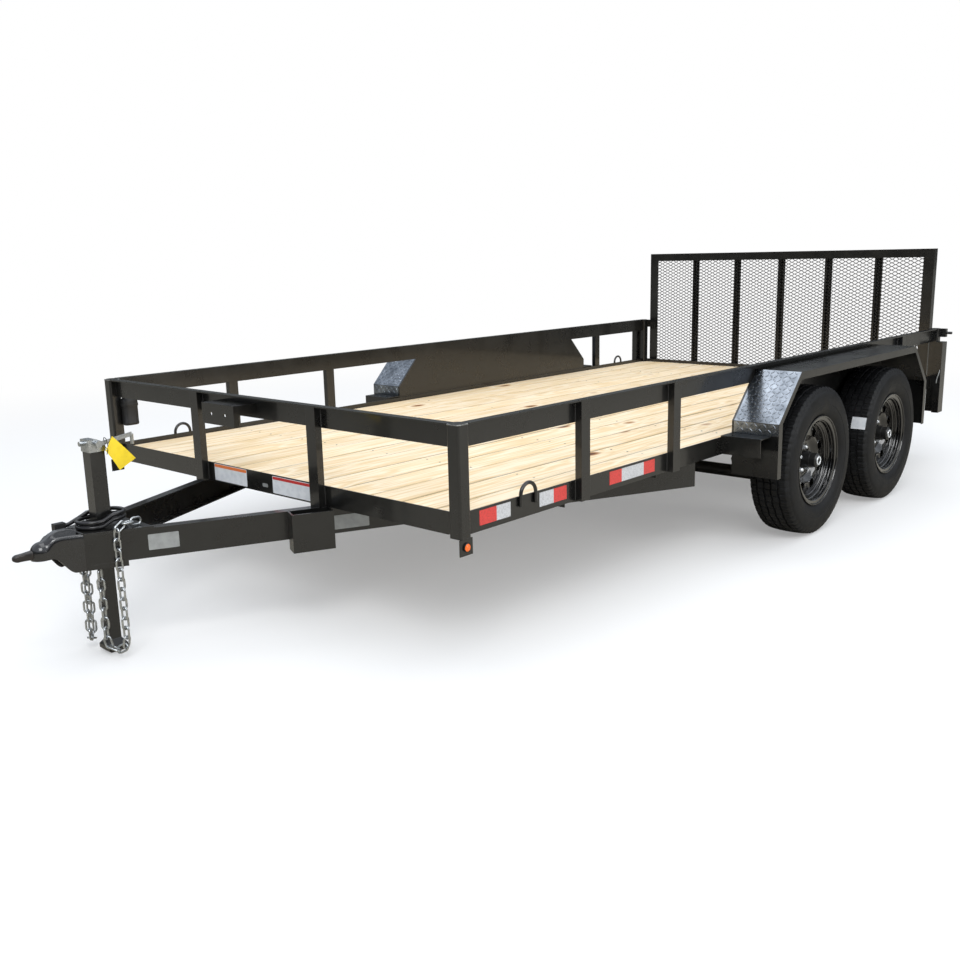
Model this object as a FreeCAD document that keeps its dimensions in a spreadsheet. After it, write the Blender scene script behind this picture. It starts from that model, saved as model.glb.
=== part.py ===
"""Tandem axle utility trailer with a timber deck, angle rails and a mesh tail gate.

The frame stands on the ground at Z = 0, X runs to the trailer's left hand side,
and the drawbar points to minus Y. Every length is in millimetres.
"""
import FreeCAD, Part
import math
import os
import Sketcher

doc = FreeCAD.newDocument("UtilityTrailer")
sheet = doc.addObject("Spreadsheet::Sheet", "Sizes")
Vector = FreeCAD.Vector


# A size knows its number and the sheet expression that gives it
class Size:
    def __init__(self, value, text):
        self.value = float(value)
        self.text = text

    def __add__(self, other):
        return joined(self, "+", other, self.value + number(other))

    def __radd__(self, other):
        return joined(other, "+", self, number(other) + self.value)

    def __sub__(self, other):
        return joined(self, "-", other, self.value - number(other))

    def __rsub__(self, other):
        return joined(other, "-", self, number(other) - self.value)

    def __mul__(self, other):
        return joined(self, "*", other, self.value * number(other))

    def __rmul__(self, other):
        return joined(other, "*", self, number(other) * self.value)

    def __truediv__(self, other):
        return joined(self, "/", other, self.value / number(other))

    def __neg__(self):
        return Size(-self.value, "(0 - " + self.text + ")")


def number(item):
    return item.value if isinstance(item, Size) else float(item)


def words(item):
    return item.text if isinstance(item, Size) else repr(item)


def joined(first, sign, second, value):
    return Size(value, "(" + words(first) + " " + sign + " " + words(second) + ")")


def size(name, value):
    """One cell of the sheet, with its alias, and the size that reads it."""
    row = str(size.row)
    size.row += 1
    sheet.set("A" + row, name)
    sheet.set("B" + row, str(value))
    sheet.setAlias("B" + row, name)
    return Size(value, "Sizes." + name)


size.row = 1

# Frame and deck
frame_width = size("frame_width", 2108)
bed_length = size("bed_length", 4267)
frame_top = size("frame_top", 516)
frame_height = size("frame_height", 76)
frame_leg = size("frame_leg", 51)
angle_wall = size("angle_wall", 5)
deck_drop = size("deck_drop", 20)
board_depth = size("board_depth", 38)
board_gap = size("board_gap", 4)
joist_height = size("joist_height", 51)
joist_leg = size("joist_leg", 38)

# Posts and rails
post_width = size("post_width", 51)
post_depth = size("post_depth", 28)
post_wall = size("post_wall", 3)
corner_width = size("corner_width", 51)
corner_wall = size("corner_wall", 4)
corner_round = size("corner_round", 9)
cap_depth = size("cap_depth", 4)
rail_top = size("rail_top", 805)
rail_height = size("rail_height", 80)
rear_post_gap = size("rear_post_gap", 42)
corner_drop = size("corner_drop", 144)

# Drawbar and coupler
tongue_reach = size("tongue_reach", 950)
tongue_half = size("tongue_half", 401)
tongue_run = size("tongue_run", 1432)
tongue_depth = size("tongue_depth", 102)
tongue_flange = size("tongue_flange", 40)
tongue_wall = size("tongue_wall", 6)
tongue_nose = size("tongue_nose", 740)
plate_wall = size("plate_wall", 6)
plate_rear = size("plate_rear", 540)
ball_place = size("ball_place", 855)
ball_radius = size("ball_radius", 25.4)
ball_clear = size("ball_clear", 0.6)
socket_wall = size("socket_wall", 9)
socket_low = size("socket_low", 378)
socket_high = size("socket_high", 400)
coupler_wall = size("coupler_wall", 5)
coupler_dish = size("coupler_dish", 9)
coupler_chin = size("coupler_chin", 361)
chin_run = size("chin_run", 10)
coupler_neck = size("coupler_neck", 770)
ridge_half = size("ridge_half", 19)
ridge_height = size("ridge_height", 15)
lip_half = size("lip_half", 14)
lip_tip = size("lip_tip", 6)
lip_bend = size("lip_bend", 30)
lip_low = size("lip_low", 383)
lip_depth = size("lip_depth", 30)
cradle_rear = size("cradle_rear", 621)
cradle_depth = size("cradle_depth", 18)

# Jack
jack_place = size("jack_place", 645)
jack_tube = size("jack_tube", 51)
jack_wall = size("jack_wall", 5)
jack_top = size("jack_top", 712)
jack_below = size("jack_below", 6)
leg_clear = size("leg_clear", 0.3)
leg_travel = size("leg_travel", 250)
foot_width = size("foot_width", 69)
foot_depth = size("foot_depth", 6)
foot_height = size("foot_height", 26)
head_width = size("head_width", 57)
head_height = size("head_height", 42)
head_lap = size("head_lap", 12)
head_slope = size("head_slope", 14)
nub_radius = size("nub_radius", 8)
nub_length = size("nub_length", 12)
crank_reach = size("crank_reach", 118)
crank_width = size("crank_width", 14)
crank_wall = size("crank_wall", 6)
crank_rise = size("crank_rise", 18)
crank_boss = size("crank_boss", 11)
boss_length = size("boss_length", 10)
grip_length = size("grip_length", 34)
grip_rod = size("grip_rod", 12)

# Running gear
axle_pitch = size("axle_pitch", 864)
tyre_radius = size("tyre_radius", 346)
tyre_width = size("tyre_width", 203)
bead_radius = size("bead_radius", 190)
flange_radius = size("flange_radius", 208)
rim_width = size("rim_width", 174)
rim_wall = size("rim_wall", 5)
rim_lip = size("rim_lip", 11)
well_radius = size("well_radius", 166)
disc_radius = size("disc_radius", 80)
disc_bulge = size("disc_bulge", 24)
window_inner = size("window_inner", 111)
window_outer = size("window_outer", 148)
window_half = size("window_half", 22)
hub_out = size("hub_out", 118)
hub_radius = size("hub_radius", 38)
hub_bore = size("hub_bore", 22.05)
hub_reach = size("hub_reach", 50)
cap_radius = size("cap_radius", 33)
cap_reach = size("cap_reach", 34)
flange_depth = size("flange_depth", 12)
drum_radius = size("drum_radius", 135)
drum_wall = size("drum_wall", 7)
drum_depth = size("drum_depth", 56)
spindle_radius = size("spindle_radius", 22)
shield_radius = size("shield_radius", 128)
shield_wall = size("shield_wall", 4)
shield_gap = size("shield_gap", 2)
axle_radius = size("axle_radius", 30)
axle_drop = size("axle_drop", 102)
knuckle_depth = size("knuckle_depth", 20)
knuckle_half = size("knuckle_half", 34)
spring_inset = size("spring_inset", 26)
spring_length = size("spring_length", 642)
spring_width = size("spring_width", 45)
leaf_depth = size("leaf_depth", 7)
spring_rise = size("spring_rise", 62)
eye_radius = size("eye_radius", 17)
bolt_radius = size("bolt_radius", 7)
seat_height = size("seat_height", 10)
seat_length = size("seat_length", 70)
hanger_wall = size("hanger_wall", 6)
hanger_width = size("hanger_width", 60)
bolt_clear = size("bolt_clear", 0.3)
link_wall = size("link_wall", 5)
link_half = size("link_half", 12)

# Fenders
fender_reach = size("fender_reach", 220)
fender_top = size("fender_top", 782)
fender_half = size("fender_half", 690)
fender_run = size("fender_run", 198)
fender_knee = size("fender_knee", 577)
fender_bottom = size("fender_bottom", 339)
fender_wall = size("fender_wall", 4)
fender_lip = size("fender_lip", 34)
step_depth = size("step_depth", 96)
step_height = size("step_height", 80)
step_reach = size("step_reach", 186)
step_lift = size("step_lift", 8)

# Tail gate
gate_inset = size("gate_inset", 42)
gate_top = size("gate_top", 1283)
gate_gap = size("gate_gap", 24)
gate_leg = size("gate_leg", 51)
gate_side = size("gate_side", 63)
gate_wall = size("gate_wall", 5)
mesh_depth = size("mesh_depth", 4)
mesh_pitch = size("mesh_pitch", 168)
mesh_strand = size("mesh_strand", 12)
hinge_height = size("hinge_height", 455)
hinge_back = size("hinge_back", 60)
hinge_pin = size("hinge_pin", 10)
hinge_clear = size("hinge_clear", 0.05)
hinge_eye = size("hinge_eye", 22)
lug_gap = size("lug_gap", 4)
gate_below = size("gate_below", 25)
latch_gap = size("latch_gap", 6)
latch_over = size("latch_over", 28)
latch_depth = size("latch_depth", 30)
latch_tall = size("latch_tall", 50)
latch_height = size("latch_height", 776)
latch_pin = size("latch_pin", 8)
latch_reach = size("latch_reach", 31)
stop_length = size("stop_length", 73)
stop_wall = size("stop_wall", 6)

# Fittings
loop_place = size("loop_place", 290)
loop_width = size("loop_width", 79)
loop_height = size("loop_height", 42)
loop_leg = size("loop_leg", 34)
loop_rod = size("loop_rod", 6.5)
marker_width = size("marker_width", 58)
marker_drop = size("marker_drop", 54)
marker_radius = size("marker_radius", 15)
marker_depth = size("marker_depth", 9)
tail_box_width = size("tail_box_width", 39)
tail_box_depth = size("tail_box_depth", 78)
tail_box_low = size("tail_box_low", 293)
tail_lamp_half = size("tail_lamp_half", 17)
tail_lamp_length = size("tail_lamp_length", 150)
tail_lamp_height = size("tail_lamp_height", 560)
spare_offset = size("spare_offset", 96)
spare_width = size("spare_width", 208)
spare_height = size("spare_height", 80)
spare_depth = size("spare_depth", 98)
spare_drop = size("spare_drop", 24)
spare_cheek = size("spare_cheek", 22)
spare_arm = size("spare_arm", 39)
spare_hole = size("spare_hole", 7)
spare_pitch = size("spare_pitch", 89)
holder_width = size("holder_width", 76)
holder_height = size("holder_height", 128)
holder_depth = size("holder_depth", 46)
pocket_place = size("pocket_place", 130)
pocket_length = size("pocket_length", 150)
pocket_depth = size("pocket_depth", 64)
pocket_height = size("pocket_height", 138)
chain_pitch = size("chain_pitch", 34)
chain_wire = size("chain_wire", 7)
chain_slack = size("chain_slack", 0.3)
chain_width = size("chain_width", 17)
chain_out = size("chain_out", 17.5)
chain_under = size("chain_under", 44)
chain_back = size("chain_back", 40)
chain_place = size("chain_place", 656)
chain_low = size("chain_low", 29.95)
chain_turn = size("chain_turn", 33)
chain_fold = size("chain_fold", 27)
chain_anchor = size("chain_anchor", 560)
lead_radius = size("lead_radius", 7)
lead_clear = size("lead_clear", 0.3)
lead_pitch = size("lead_pitch", 16.5)
coil_radius = size("coil_radius", 50)
climb_run = size("climb_run", 36)
climb_bend = size("climb_bend", 42)
climb_end = size("climb_end", 11)
gland_radius = size("gland_radius", 12)
gland_height = size("gland_height", 18)
lead_end = size("lead_end", 748)
plug_length = size("plug_length", 38)
plug_width = size("plug_width", 24)

BOARDS = 13
GATE_BARS = 5
WINDOWS = 8
LEAVES = 4
LEAD_TURNS = 2
BAR_SIDES = 6
ROUTE_SPOTS = 8000

# Places and forms as shares of the sizes that they follow
front_post_share = 0.349
post_first_share = 0.1408
post_pitch_share = 0.143
axle_share = 0.6152
rear_loop_share = 0.437
tread_half_share = 0.69
crown_half_share = 0.86
shoulder_drop_share = 0.08
tyre_shares = ((0.94, 0.16), (1.0, 0.45), (0.97, 0.7))
rim_seat_share = 0.6
rim_well_share = 0.48
cap_nose_share = 0.7
cap_flat_share = 0.8
window_shares = ((0.0, 0.72), (0.55, 1.0), (0.9, 0.8), (1.0, 0.4))

doc.recompute()

half_width = frame_width / 2
post_first = bed_length * post_first_share
post_pitch = bed_length * post_pitch_share
axle_middle = bed_length * axle_share
hub_place = half_width + hub_out
spring_place = half_width - spring_inset
fender_outside = half_width + fender_reach
gate_width = frame_width - gate_inset * 2
plate_front = tongue_nose
frame_bottom = frame_top - frame_height
deck_top = frame_top - deck_drop
deck_bottom = deck_top - board_depth
rail_bottom = rail_top - rail_height
bed_front = (tongue_reach - bed_length - hinge_back - hinge_eye) / 2
bed_rear = bed_front + bed_length
corner_clear = corner_width - post_depth
wheel_height = tyre_radius
rear_post = axle_middle + fender_half + fender_run + step_depth + rear_post_gap
tongue_slope = (half_width - tongue_half) / tongue_run
sides = (("left", 1), ("right", -1))
nodes = []


def origin_plane(body, role):
    for feature in body.Origin.OriginFeatures:
        if feature.Role == role:
            return feature
    raise ValueError(role)


def bind(item, name, value):
    item.setExpression(name, words(value))


def place(item, x, y, z):
    """Bind an object's base point to the sheet."""
    for axis, where in (("x", x), ("y", y), ("z", z)):
        bind(item, "Placement.Base." + axis, where)


def ordered(first, last):
    return (first, last) if number(first) < number(last) else (last, first)


def sketched(body, name, plane, outline):
    """A closed sketch whose corners are bound to the sheet."""
    sketch = body.newObject("Sketcher::SketchObject", name)
    sketch.AttachmentSupport = [(origin_plane(body, plane + "_Plane"), "")]
    sketch.MapMode = "FlatFace"
    spots = [Vector(number(u), number(v), 0) for u, v in outline]
    count = len(spots)
    for here in range(count):
        sketch.addGeometry(Part.LineSegment(spots[here], spots[(here + 1) % count]), False)
    for here in range(count):
        sketch.addConstraint(Sketcher.Constraint("Coincident", here, 2, (here + 1) % count, 1))
    for here, (u, v) in enumerate(outline):
        for kind, where in (("DistanceX", u), ("DistanceY", v)):
            row = sketch.addConstraint(Sketcher.Constraint(kind, -1, 1, here, 1, number(where)))
            bind(sketch, "Constraints[" + str(row) + "]", where)
    return sketch


def prism(label, plane, outline, start, length):
    """A body padded from an outline in one of the main planes."""
    body = doc.addObject("PartDesign::Body", label)
    body.Label = label
    sketch = sketched(body, label + "_outline", plane, outline)
    pad = body.newObject("PartDesign::Pad", label + "_pad")
    pad.Profile = sketch
    bind(pad, "Length", length)
    pad.Reversed = plane == "XZ"
    axis = {"XY": "z", "XZ": "y", "YZ": "x"}[plane]
    bind(body, "Placement.Base." + axis, start)
    return body


def turned(label, outline, x, y, z, sign):
    """A body of revolution about an axle line, drawn as distance along it and radius."""
    body = doc.addObject("PartDesign::Body", label)
    body.Label = label
    mirrored = [(sign * along, radius) for along, radius in outline]
    sketch = sketched(body, label + "_outline", "XZ", mirrored)
    spin = body.newObject("PartDesign::Revolution", label + "_spin")
    spin.Profile = sketch
    spin.ReferenceAxis = (sketch, ["H_Axis"])
    spin.Angle = 360
    place(body, x, y, z)
    return body


def box(label, x, y, z):
    """A box between two sizes on each axis."""
    item = doc.addObject("Part::Box", label)
    item.Label = label
    for side, (low, high) in (("Length", x), ("Width", y), ("Height", z)):
        bind(item, side, high - low)
    place(item, x[0], y[0], z[0])
    return item


def rod(label, radius, axis, start, length, u, v):
    """A cylinder along an axis; u and v are its place on the other two, in order."""
    item = doc.addObject("Part::Cylinder", label)
    item.Label = label
    bind(item, "Radius", radius)
    bind(item, "Height", length)
    if axis == "x":
        item.Placement.Rotation = FreeCAD.Rotation(Vector(0, 1, 0), 90)
        place(item, start, u, v)
    elif axis == "y":
        item.Placement.Rotation = FreeCAD.Rotation(Vector(1, 0, 0), -90)
        place(item, u, start, v)
    else:
        place(item, u, v, start)
    return item


def cut(label, base, tool):
    item = doc.addObject("Part::Cut", label)
    item.Label = label
    item.Base = base
    item.Tool = tool
    return item


def common(label, first, second):
    item = doc.addObject("Part::Common", label)
    item.Label = label
    item.Base = first
    item.Tool = second
    return item


def fused(label, items):
    item = doc.addObject("Part::MultiFuse", label)
    item.Label = label
    item.Shapes = items
    item.Refine = True
    return item


def grouped(label, items):
    """Several solids of one node that don't touch."""
    item = doc.addObject("Part::Compound", label)
    item.Label = label
    item.Links = items
    return item


def shaped(label, shape):
    """A feature whose form is worked out from the sheet's numbers."""
    item = doc.addObject("Part::Feature", label)
    item.Label = label
    item.Shape = shape
    return item


def node(item):
    nodes.append(item)
    return item


def tube(label, x, y, z, wall, along):
    """A rectangular tube, open at both ends."""
    inner = {"x": x, "y": y, "z": z}
    for axis in inner:
        if axis != along:
            low, high = inner[axis]
            inner[axis] = (low + wall, high - wall)
    solid = box(label + "_solid", x, y, z)
    hollow = box(label + "_hollow", inner["x"], inner["y"], inner["z"])
    return cut(label, solid, hollow)


def point(x, y, z):
    return Vector(number(x), number(y), number(z))


def bent_line(path, bends):
    """Straight runs through the points of a path, with an arc of its own at each inner point."""
    edges = []
    last = path[0]
    for here, bend in enumerate(bends, 1):
        corner = path[here]
        back = (path[here - 1] - corner).normalize()
        ahead = (path[here + 1] - corner).normalize()
        half_turn = (math.pi - back.getAngle(ahead)) / 2
        trim = bend * math.tan(half_turn)
        start = corner + back * trim
        end = corner + ahead * trim
        middle = (back + ahead).normalize()
        lift = bend / math.cos(half_turn) - bend
        if not last.isEqual(start, bend / 1000):
            edges.append(Part.LineSegment(last, start).toShape())
        edges.append(Part.Arc(start, corner + middle * lift, end).toShape())
        last = end
    edges.append(Part.LineSegment(last, path[-1]).toShape())
    return Part.Wire(edges)


def bent_rod(path, bends, radius):
    """A round rod along a bent line."""
    heading = (path[1] - path[0]).normalize()
    ring = Part.Wire(Part.Circle(path[0], heading, radius).toShape())
    return bent_line(path, bends).makePipeShell([ring], True, True)


# Side frames, angles with the tall leg outside
def side_frame(name, sign):
    outside = sign * half_width
    outline = [
        (outside, frame_bottom),
        (outside, frame_top),
        (outside - sign * angle_wall, frame_top),
        (outside - sign * angle_wall, frame_bottom + angle_wall),
        (outside - sign * frame_leg, frame_bottom + angle_wall),
        (outside - sign * frame_leg, frame_bottom),
    ]
    length = bed_length - corner_clear * 2
    node(prism("side_frame_" + name, "XZ", outline, bed_front + corner_clear, length))


# Cross beams at both ends, angles whose tall leg closes the deck
def end_beam(label, face, inward):
    half = half_width - corner_clear
    leg_half = half_width - frame_leg
    wall = ordered(face, face + inward * angle_wall)
    leg = ordered(face, face + inward * frame_leg)
    low = frame_bottom + angle_wall
    tall = box(label + "_tall", (-half, half), wall, (low, frame_top))
    flat = box(label + "_flat", (-leg_half, leg_half), leg, (frame_bottom, low))
    return fused(label, [tall, flat])


def tongue_outside(back):
    """Half the width over the drawbar at a distance behind the bed's front."""
    return tongue_half + tongue_slope * back


# Joists under the deck, the front ones notched over the drawbar
def joists():
    half = half_width - frame_leg
    low = deck_bottom - joist_height
    rows = []
    for row in range(6):
        back = post_first + post_pitch * row
        start = bed_front + back
        outline = [
            (start, low),
            (start, deck_bottom),
            (start + joist_leg, deck_bottom),
            (start + joist_leg, deck_bottom - angle_wall),
            (start + angle_wall, deck_bottom - angle_wall),
            (start + angle_wall, low),
        ]
        joist = prism("joist_" + str(row + 1), "YZ", outline, -half, half * 2)
        if number(tongue_outside(back)) < number(half):
            notches = []
            for name, sign in sides:
                near = sign * (tongue_outside(back) - tongue_flange - tongue_wall * 2)
                far = sign * tongue_outside(back + joist_leg)
                notches.append(box("joist_notch_" + name + "_" + str(row + 1), ordered(near, far),
                                   (start, start + joist_leg), (low, frame_bottom)))
            joist = cut("joist_notched_" + str(row + 1), joist,
                        fused("joist_notches_" + str(row + 1), notches))
        rows.append(joist)
    node(grouped("joists", rows))


# Deck boards laid lengthways, the outer two notched round the corner posts
def boards():
    inside = half_width - angle_wall
    pitch = inside * 2 / BOARDS
    notch = half_width - corner_clear
    front = bed_front + angle_wall
    rear = bed_rear - angle_wall
    rows = []
    for row in range(BOARDS):
        left = -inside + pitch * row
        low = left + board_gap / 2
        high = left + pitch - board_gap / 2
        label = "board_" + str(row + 1)
        if row in (0, BOARDS - 1):
            outer, inner, cheek = (low, high, -notch) if row == 0 else (high, low, notch)
            outline = [
                (inner, front),
                (cheek, front),
                (cheek, bed_front + corner_clear),
                (outer, bed_front + corner_clear),
                (outer, bed_rear - corner_clear),
                (cheek, bed_rear - corner_clear),
                (cheek, rear),
                (inner, rear),
            ]
            rows.append(prism(label, "XY", outline, deck_bottom, board_depth))
        else:
            rows.append(box(label, (low, high), (front, rear), (deck_bottom, deck_top)))
    node(grouped("deck_boards", rows))


def rounded_post(label, x, y, z):
    """A corner tube with rounded edges and a cap on top."""
    outline = [(x[0], y[0]), (x[1], y[0]), (x[1], y[1]), (x[0], y[1])]
    body = prism(label + "_solid", "XY", outline, z[0], z[1] - cap_depth - z[0])
    doc.recompute()
    pad = body.Tip
    upright = []
    for row, edge in enumerate(pad.Shape.Edges):
        ends = [vertex.Point for vertex in edge.Vertexes]
        if abs(ends[0].z - ends[1].z) > number(corner_width):
            upright.append("Edge" + str(row + 1))
    bend = body.newObject("PartDesign::Fillet", label + "_bend")
    bend.Base = (pad, upright)
    bind(bend, "Radius", corner_round)
    body.Tip = bend
    hollow = box(label + "_hollow", (x[0] + corner_wall, x[1] - corner_wall),
                 (y[0] + corner_wall, y[1] - corner_wall), (z[0], z[1] - cap_depth))
    pipe = cut(label + "_pipe", body, hollow)
    middle_x = (x[0] + x[1]) / 2
    middle_y = (y[0] + y[1]) / 2
    cap = rod(label + "_cap", corner_width / 2, "z", z[1] - cap_depth, cap_depth, middle_x, middle_y)
    return fused(label, [pipe, cap])


# Upright posts outside the frame and rounded tubes at the corners
def posts():
    rows = []
    corners = []
    for name, sign in sides:
        middle = sign * half_width * front_post_share
        rows.append(tube("front_post_" + name,
                         (middle - post_width / 2, middle + post_width / 2),
                         (bed_front - post_depth, bed_front),
                         (frame_bottom, rail_top - angle_wall), post_wall, "z"))
        x = ordered(sign * half_width, sign * (half_width + post_depth))
        for row, back in enumerate((post_first, post_first + post_pitch, rear_post)):
            start = bed_front + back
            rows.append(tube("side_post_" + name + "_" + str(row + 1), x,
                             (start, start + post_width),
                             (frame_bottom, rail_top - angle_wall), post_wall, "z"))
        outer = half_width + post_depth
        x = ordered(sign * outer, sign * (outer - corner_width))
        front_y = (bed_front - post_depth, bed_front + corner_clear)
        rear_y = (bed_rear - corner_clear, bed_rear + post_depth)
        corners.append(rounded_post("front_corner_" + name, x, front_y, (frame_bottom, rail_top)))
        corners.append(rounded_post("rear_corner_" + name, x, rear_y,
                                    (frame_bottom - corner_drop, rail_top)))
    node(grouped("side_posts", rows))
    node(grouped("corner_posts", corners))


# Top rails, angles whose flat leg covers the posts
def rails():
    for name, sign in sides:
        face = sign * half_width
        outline = [
            (face, rail_bottom),
            (face, rail_top - angle_wall),
            (face + sign * post_depth, rail_top - angle_wall),
            (face + sign * post_depth, rail_top),
            (face - sign * angle_wall, rail_top),
            (face - sign * angle_wall, rail_bottom),
        ]
        length = bed_length - corner_clear * 2
        node(prism("rail_" + name, "XZ", outline, bed_front + corner_clear, length))
    outline = [
        (bed_front, rail_bottom),
        (bed_front, rail_top - angle_wall),
        (bed_front - post_depth, rail_top - angle_wall),
        (bed_front - post_depth, rail_top),
        (bed_front + angle_wall, rail_top),
        (bed_front + angle_wall, rail_bottom),
    ]
    half = half_width - corner_clear
    node(prism("rail_front", "YZ", outline, -half, half * 2))


# Drawbar channels under the frame, open side inward
def drawbar():
    angle = math.degrees(math.atan(number(tongue_slope)))
    stretch = math.sqrt(1 + number(tongue_slope) ** 2)
    low = frame_bottom - tongue_depth
    for name, sign in sides:
        outline = [
            (0, low),
            (0, frame_bottom),
            (-sign * tongue_flange, frame_bottom),
            (-sign * tongue_flange, frame_bottom - tongue_wall),
            (-sign * tongue_wall, frame_bottom - tongue_wall),
            (-sign * tongue_wall, low + tongue_wall),
            (-sign * tongue_flange, low + tongue_wall),
            (-sign * tongue_flange, low),
        ]
        body = prism("drawbar_" + name, "XZ", outline, 0, (tongue_nose + tongue_run) * stretch)
        body.Placement.Rotation = FreeCAD.Rotation(Vector(0, 0, 1), -sign * angle)
        place(body, sign * tongue_outside(-tongue_nose), bed_front - tongue_nose, 0)
        node(body)


def wedge(front, rear):
    """The drawbar's plan between two distances before the bed."""
    return [
        (-tongue_outside(-front), bed_front - front),
        (tongue_outside(-front), bed_front - front),
        (tongue_outside(-rear), bed_front - rear),
        (-tongue_outside(-rear), bed_front - rear),
    ]


# Plates that carry the jack, above and below the drawbar
def jack_plates():
    middle = bed_front - jack_place
    half = jack_tube / 2
    square = [(-half, middle - half), (half, middle - half), (half, middle + half), (-half, middle + half)]
    plate = prism("top_plate_solid", "XY", wedge(plate_front, plate_rear), frame_bottom, plate_wall)
    hole = prism("top_plate_hole", "XY", square, frame_bottom, plate_wall)
    node(cut("jack_plate", plate, hole))
    low = frame_bottom - tongue_depth - cradle_depth
    cradle = prism("cradle_solid", "XY", wedge(tongue_nose, cradle_rear), low, cradle_depth)
    inner = wedge(tongue_nose - plate_wall, cradle_rear + plate_wall)
    inner = [(u + plate_wall, v) if number(u) < 0 else (u - plate_wall, v) for u, v in inner]
    hollow = prism("cradle_hollow", "XY", inner, low + plate_wall, cradle_depth - plate_wall)
    gap = prism("cradle_hole", "XY", square, low, cradle_depth)
    node(cut("jack_cradle", cradle, fused("cradle_cuts", [hollow, gap])))


def coupler_plan(inset):
    """The coupler seen from above, its walls drawn in by an inset."""
    shell = ball_radius + ball_clear + socket_wall
    ball = bed_front - ball_place
    places = (
        (tongue_outside(-tongue_nose) - inset, bed_front - tongue_nose - inset),
        (tongue_outside(-coupler_neck) - inset, bed_front - coupler_neck),
        (shell - inset, ball + shell / 2),
        (shell - inset, ball),
    )
    return [(-u, v) for u, v in places] + [(u, v) for u, v in reversed(places)]


def coupler_side(label, inset, start, width):
    """The coupler seen from the side, between two heights that fall toward the ball."""
    ball = bed_front - ball_place
    neck = bed_front - coupler_neck
    shell = ball_radius + ball_clear + socket_wall
    high = frame_bottom + plate_wall - inset
    low = frame_bottom - tongue_depth - cradle_depth
    outline = [
        (bed_front - tongue_nose - inset, low),
        (neck, low),
        (neck - chin_run, coupler_chin),
        (ball, socket_low),
        (ball, socket_high + shell / 2 - inset),
        (ball + shell, high),
        (bed_front - tongue_nose - inset, high),
    ]
    return prism(label, "YZ", outline, start, width)


# Ball coupler: a pressed shell, its raised tongue, the domed ball housing and the latch's lip
def coupler():
    shell = ball_radius + ball_clear + socket_wall
    ball = bed_front - ball_place
    widest = tongue_outside(-tongue_nose)
    top = frame_bottom + plate_wall
    low = frame_bottom - tongue_depth - cradle_depth
    plan = prism("coupler_plan", "XY", coupler_plan(0 * shell), low, top - low)
    side = coupler_side("coupler_side", 0 * shell, -widest, widest * 2)
    skin = common("coupler_skin", plan, side)
    inner_plan = prism("coupler_plan_inside", "XY", coupler_plan(coupler_wall), low,
                       top - low - coupler_dish - coupler_wall)
    inner_side = coupler_side("coupler_side_inside", coupler_dish + coupler_wall, -widest, widest * 2)
    hollow = common("coupler_hollow", inner_plan, inner_side)
    dish = prism("coupler_dish", "XY", coupler_plan(coupler_wall)[1:-1], top - coupler_dish, coupler_dish)
    pressed = cut("coupler_pressing", skin, fused("coupler_hollows", [hollow, dish]))
    ridge_top = top + ridge_height
    neck = bed_front - coupler_neck
    ridge_outline = [
        (bed_front - tongue_nose - coupler_wall, top - coupler_dish - coupler_wall),
        (bed_front - tongue_nose - coupler_wall, ridge_top - ridge_height / 2),
        (neck, ridge_top),
        (ball + shell * 2, ridge_top),
        (ball + shell, top),
        (ball, socket_high + shell / 2),
        (ball, socket_high),
        (ball + shell, top - coupler_dish - coupler_wall),
    ]
    ridge = prism("coupler_ridge", "YZ", ridge_outline, -ridge_half, ridge_half * 2)
    post = rod("ball_housing", shell, "z", socket_low, socket_high - socket_low, 0 * shell, ball)
    dome = doc.addObject("Part::Sphere", "ball_dome")
    dome.Label = "ball_dome"
    bind(dome, "Radius", shell)
    place(dome, 0 * shell, ball, socket_high)
    below = box("ball_dome_below", (-shell, shell), (ball - shell, ball + shell),
                (socket_high - shell, socket_high))
    cap = cut("ball_cap", dome, below)
    bore = ball_radius + ball_clear
    socket = rod("coupler_bore", bore, "z", socket_low, bore, 0 * bore, ball)
    node(cut("coupler", fused("coupler_body", [pressed, ridge, post, cap]), socket))

    front = bed_front - tongue_reach
    outline = [
        (-lip_half, ball - shell / 2),
        (lip_half, ball - shell / 2),
        (lip_half, front + lip_bend),
        (lip_tip, front),
        (-lip_tip, front),
        (-lip_half, front + lip_bend),
    ]
    lip = prism("latch_lip", "XY", outline, lip_low, lip_depth)
    seat = rod("latch_seat", shell, "z", lip_low, lip_depth, 0 * shell, ball)
    node(cut("coupler_latch", lip, seat))


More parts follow.
